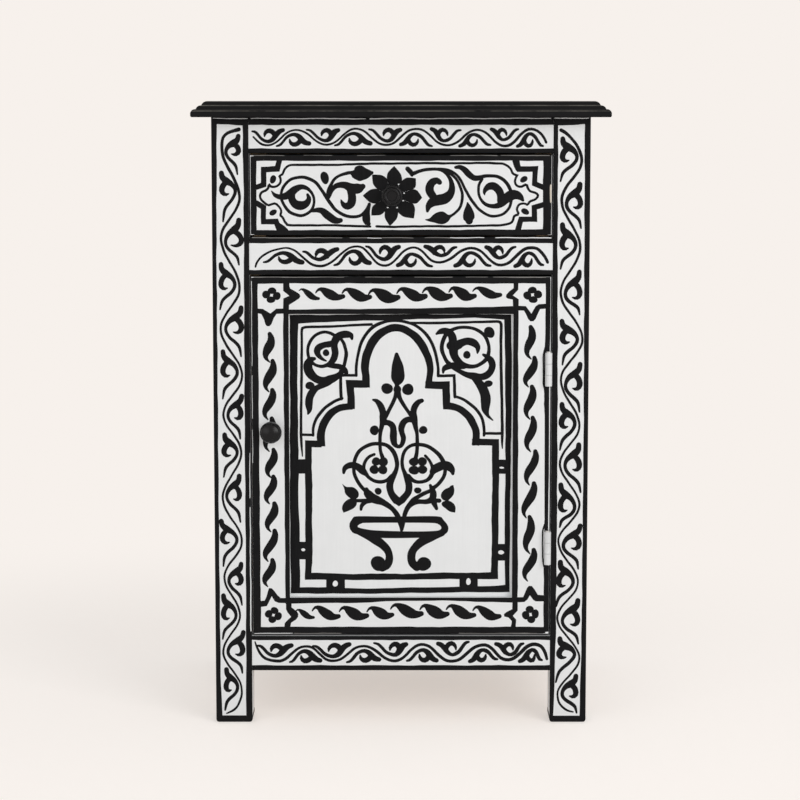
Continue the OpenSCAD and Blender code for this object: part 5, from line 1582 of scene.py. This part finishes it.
# Pale lines as points with their widths: painted highlights under the top and down the inner
# arris of the left post, and along the upper arris of the middle rail lines that are partly wear
# and partly painted highlight
WEAR_AND_HIGHLIGHT_LINES = [
    [(-189, 622.8, 0.25), (-170, 622.6, 0.35), (-155, 622.7, 0.3)],
    [(-151, 622.7, 0.3), (-120, 622.6, 0.3), (-96, 622.5, 0.5), (-60, 622.5, 0.55), (-36, 622.4, 0.25)],
    [(-31, 622.5, 0.65), (0, 622.6, 0.45), (30, 622.6, 0.4), (80, 622.7, 0.45), (120, 622.8, 0.35),
     (151, 622.9, 0.35)],
    [(155, 623, 0.35), (172, 623, 0.5), (189, 623, 0.4)],
    [(-34, 502.3, 0.2), (-28, 502.2, 0.3), (-20, 502.3, 0.2)],
    [(50, 502.5, 0.2), (62, 502.4, 0.3), (84, 502.4, 0.2)],
    [(96, 502.4, 0.3), (130, 502.5, 0.5), (152, 502.3, 0.6)],
    [(-154.9, 282, 0.1), (-154.9, 236, 0.3)], [(-154.9, 226, 0.3), (-154.9, 97, 0.6)],
]
# Grey lines, partly scuffs and partly painted highlight: along the upper arrises of the middle
# rail and the drawer, and along the upper and lower ones of the door
GREY_SCUFF_AND_SHEEN_LINES = {
    "root": [
        [(-151, 502.4, 0.2), (-110, 502.4, 0.3), (-60, 502.4, 0.2)],
        [(-52, 502.4, 0.1), (-35, 502.4, 0.2)], [(-19, 502.4, 0.2), (12, 502.4, 0.1)],
        [(24, 502.4, 0.1), (49, 502.4, 0.3)]],
    "drawer": [
        [(-151, 585.5, 0.3), (-118, 585.6, 0.1)], [(-98, 585.6, 0.1), (-70, 585.6, 0.2)],
        [(-44, 585.6, 0.1), (-16, 585.6, 0.1)], [(50, 585.5, 0.1), (97, 585.6, 0.4)],
        [(101, 585.5, 0.3), (128, 585.6, 0.5), (150, 585.5, 0.3)]],
    "door": [
        [(-149, 462.5, 0.4), (-90, 462.5, 0.3), (-58, 462.5, 0.1)],
        [(-36, 462.5, 0.1), (-10, 462.5, 0.2)], [(14, 462.5, 0.1), (52, 462.5, 0.3)],
        [(66, 462.5, 0.1), (88, 462.5, 0.1)],
        [(94, 462.5, 0.2), (120, 462.5, 0.6), (147, 462.5, 0.4)],
        [(-110, 94.1, 0.3), (-62, 94.1, 0.2)], [(60, 94.1, 0.1), (140, 94.1, 0.3)]],
}
# White lines, partly wear and partly painted highlight, down the left arris of the door and
# along its lower one
DOOR_WEAR_AND_HIGHLIGHT_LINES = [
    [(-151.9, 458, 0.3), (-151.9, 420, 0.1), (-151.9, 372, 0.1)],
    [(-151.9, 362, 0.1), (-151.9, 318, 0.1)], [(-151.9, 306, 0.1), (-151.9, 272, 0.1)],
    [(-151, 94.2, 0.3), (-112, 94.1, 0.1)],
]


def paint_wear_and_highlight_lines(seed):
    """Thin pale lines on the rails and the posts: painted highlights, some of them partly wear."""
    rail, post = (box_of(name)[0][1] for name in ("rail_front_top", "post_front_left"))

    def place(u, v, h):
        y = np.where(np.abs(u) < HALF_WIDTH - POST, rail, post)
        return np.stack([u, y - h, v], -1)
    painting = Painting("painting_wear_and_highlight_lines", place, seed)
    for points in WEAR_AND_HIGHLIGHT_LINES:
        painting.stroke(points, step=6.0, over=OVER)
    paint_scuff_and_sheen_lines("root", place, seed + 1)
    painting.finish("root", "white_paint_across")


# Operators

class CABINET_OT_stage(bpy.types.Operator):
    """Floor, sky, lamps and camera."""
    bl_idname = "cabinet.stage"
    bl_label = "Stage"

    def execute(self, context):
        s = context.scene.cabinet_stage
        make_floor(s)
        make_world(s)
        make_lamp("key_lamp", (1.7, -2.5, 1.35), 1.6, s.key)
        make_lamp("fill_lamp", (-1.9, -2.8, 0.9), 2.2, s.fill)
        make_camera(s)
        return {"FINISHED"}


def looked_at(tree):
    """One where a camera, glossy or transmission ray looks, and nought for light."""
    rays = add(tree, "ShaderNodeLightPath").outputs
    total = rays["Is Camera Ray"]
    for label in ("Is Glossy Ray", "Is Transmission Ray"):
        total = maths(tree, "MAXIMUM", total, rays[label])
    return total


# Share of the floor's look near the cabinet that the lamps make, and how bright they make it
SHADOW_SHARE = 0.64
FLOOR_LIGHT = 0.70
# How many spokes the floor's grid has
SPOKES = 64


def make_floor(s):
    """A round floor: rings whose radii grow from the middle out, as a grid of angle and ring."""
    radii = np.array([0.25, 0.6, 1.2, 2.4, 5, 10, 20, 40.0])
    angle = np.linspace(0, 2 * np.pi, SPOKES, endpoint=False)
    x = np.r_[0, (radii[:, None] * np.cos(angle)).ravel()]
    y = np.r_[0, (radii[:, None] * np.sin(angle)).ravel()]
    j = np.arange(SPOKES)
    k = (j + 1) % SPOKES
    faces = np.stack([np.zeros_like(j), 1 + j, 1 + k], 1).tolist()
    for ring in range(len(radii) - 1):
        a, b = 1 + SPOKES * ring, 1 + SPOKES * (ring + 1)
        faces += np.stack([a + j, b + j, b + k, a + k], 1).tolist()
    mesh = bpy.data.meshes.new("floor")
    mesh.from_pydata(np.column_stack([x, y, np.zeros_like(x)]).tolist(), [], faces)
    made = bpy.data.materials.new("pale_floor")
    made.use_nodes = True
    tree = made.node_tree
    tree.nodes.clear()
    seen = looked_at(tree)
    place = add(tree, "ShaderNodeTexCoord").outputs["Object"]
    off = add(tree, "ShaderNodeVectorMath", {0: place, 1: (0.12, 0, 0)}, operation="ADD")
    way = add(tree, "ShaderNodeVectorMath", {0: off.outputs[0]}, operation="LENGTH")
    share = ranged(tree, way.outputs["Value"], 0.3, 1, SHADOW_SHARE, 0,
                   interpolation_type="SMOOTHSTEP")
    matt_part = add(tree, "ShaderNodeMix", {"Factor": seen, "A": 1, "B": share})
    glow_part = maths(tree, "MULTIPLY", maths(tree, "MULTIPLY_ADD", share, -FLOOR_LIGHT, 1), seen)
    colour = add(tree, "ShaderNodeVectorMath", {0: s.ground, "Scale": matt_part.outputs[0]},
                 operation="SCALE")
    matt = add(tree, "ShaderNodeBsdfDiffuse", {"Color": colour.outputs[0]})
    glow = add(tree, "ShaderNodeEmission", {"Color": (*s.ground, 1), "Strength": glow_part})
    both = add(tree, "ShaderNodeAddShader", {0: matt.outputs[0], 1: glow.outputs[0]})
    add(tree, "ShaderNodeOutputMaterial", {"Surface": both.outputs[0]})
    mesh.materials.append(made)
    floor = placed("floor", mesh)


def make_world(s):
    """An even sky for light, and the background's colour where it is looked at."""
    world = bpy.data.worlds.new("studio")
    world.use_nodes = True
    bpy.context.scene.world = world
    tree = world.node_tree
    tree.nodes.clear()
    light = add(tree, "ShaderNodeBackground", {"Color": (0.985, 0.995, 1, 1), "Strength": s.sky})
    ground = add(tree, "ShaderNodeBackground", {"Color": (*s.ground, 1), "Strength": 1})
    mix = add(tree, "ShaderNodeMixShader", {"Fac": looked_at(tree), 1: light.outputs[0],
                                            2: ground.outputs[0]})
    add(tree, "ShaderNodeOutputWorld", {"Surface": mix.outputs[0]})


def make_lamp(name, place, size, power):
    """A square soft lamp that looks at the middle of the cabinet."""
    lamp = bpy.data.lights.new(name, "AREA")
    lamp.shape = "SQUARE"
    lamp.size = size
    lamp.energy = power
    thing = placed(name, lamp)
    thing.location = place
    way = np.array([0, 0, 0.32]) - np.array(place)
    turn = math.atan2(way[1], way[0])
    drop = math.atan2(np.hypot(way[0], way[1]), -way[2])
    thing.rotation_euler = (drop, 0, turn - math.pi / 2)


def make_camera(s):
    """The camera in front of the cabinet, level with its top and looking down."""
    lens = bpy.data.cameras.new("camera")
    lens.sensor_width = 36
    lens.sensor_fit = "HORIZONTAL"
    lens.lens = s.lens
    camera = placed("camera", lens)
    camera.location = s.eye
    camera.rotation_euler = (math.pi / 2 - s.tilt, 0, 0)
    bpy.context.scene.camera = camera
    bpy.context.scene.view_settings.view_transform = "Standard"


class CABINET_OT_finishes(bpy.types.Operator):
    """Paint, wood and metal on the pieces that the joiner made."""
    bl_idname = "cabinet.finishes"
    bl_label = "Finishes"

    def execute(self, context):
        for finish_name, names in DRESSING.items():
            dress(names, finish_name)
        left = set(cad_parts) - {n for names in DRESSING.values() for n in names}
        if left:
            raise RuntimeError("no finish for " + ", ".join(sorted(left)))
        return {"FINISHED"}


class CABINET_OT_posts(bpy.types.Operator):
    """Borders, vines and leaves on the four posts."""
    bl_idname = "cabinet.posts"
    bl_label = "Paint the posts"

    def execute(self, context):
        paint_post("post_front_left", -1, -1, 11)
        paint_post("post_front_right", 1, -1, 12)
        paint_post("post_back_left", -1, 1, 13)
        paint_post("post_back_right", 1, 1, 14)
        return {"FINISHED"}


class CABINET_OT_rails(bpy.types.Operator):
    """Borders and level vines on the rails."""
    bl_idname = "cabinet.rails"
    bl_label = "Paint the rails"

    def execute(self, context):
        for seed, name in enumerate(RAIL_VINES):
            paint_front_rail(name, 21 + seed)
        paint_wear_and_highlight_lines(24)
        for side, word, seed in ((-1, "left", 31), (1, "right", 33)):
            paint_side_rail(f"rail_{word}_top", side, "rail_front_top", seed)
            paint_side_rail(f"rail_{word}_bottom", side, "rail_front_bottom", seed + 1)
        return {"FINISHED"}


class CABINET_OT_side_panels(bpy.types.Operator):
    """Borders and corner flowers on the two side panels."""
    bl_idname = "cabinet.side_panels"
    bl_label = "Paint the side panels"

    def execute(self, context):
        paint_side_panel("panel_left", -1, 41)
        paint_side_panel("panel_right", 1, 42)
        return {"FINISHED"}


class CABINET_OT_drawer(bpy.types.Operator):
    """Flower and scrolls on the drawer front."""
    bl_idname = "cabinet.drawer"
    bl_label = "Paint the drawer"

    def execute(self, context):
        paint_drawer(51)
        paint_drawer_touches(52)
        return {"FINISHED"}


class CABINET_OT_door(bpy.types.Operator):
    """Sprigs on the door's frame, arch and plant on its panel."""
    bl_idname = "cabinet.door"
    bl_label = "Paint the door"

    def execute(self, context):
        paint_door_frame(61)
        paint_door_panel(62)
        paint_door_touches(63)
        return {"FINISHED"}


class CABINET_PT_panel(bpy.types.Panel):
    """Lists the steps and the main settings."""
    bl_idname = "CABINET_PT_panel"
    bl_label = "Painted cabinet"
    bl_space_type = "VIEW_3D"
    bl_region_type = "UI"
    bl_category = "Cabinet"

    def draw(self, context):
        for step in STEPS:
            self.layout.operator(step.bl_idname)
        scene = context.scene
        for settings, names in ((scene.cabinet_paint, ("white", "black", "lift", "unsteady")),
                                (scene.cabinet_stage, ("ground", "sky", "key", "fill"))):
            for name in names:
                self.layout.prop(settings, name)


STEPS = (CABINET_OT_stage, CABINET_OT_finishes, CABINET_OT_posts, CABINET_OT_rails,
         CABINET_OT_side_panels, CABINET_OT_drawer, CABINET_OT_door)
CLASSES = (PaintSettings, StageSettings) + STEPS + (CABINET_PT_panel,)


def register():
    for kind in CLASSES:
        bpy.utils.register_class(kind)
    bpy.types.Scene.cabinet_paint = bpy.props.PointerProperty(type=PaintSettings)
    bpy.types.Scene.cabinet_stage = bpy.props.PointerProperty(type=StageSettings)


def unregister():
    del bpy.types.Scene.cabinet_stage
    del bpy.types.Scene.cabinet_paint
    for kind in reversed(CLASSES):
        bpy.utils.unregister_class(kind)


def main():
    register()
    bpy.ops.cabinet.stage()
    bpy.ops.cabinet.finishes()
    bpy.ops.cabinet.posts()
    bpy.ops.cabinet.rails()
    bpy.ops.cabinet.side_panels()
    bpy.ops.cabinet.drawer()
    bpy.ops.cabinet.door()
    bpy.context.view_layer.update()


if __name__ == "__main__":
    main()
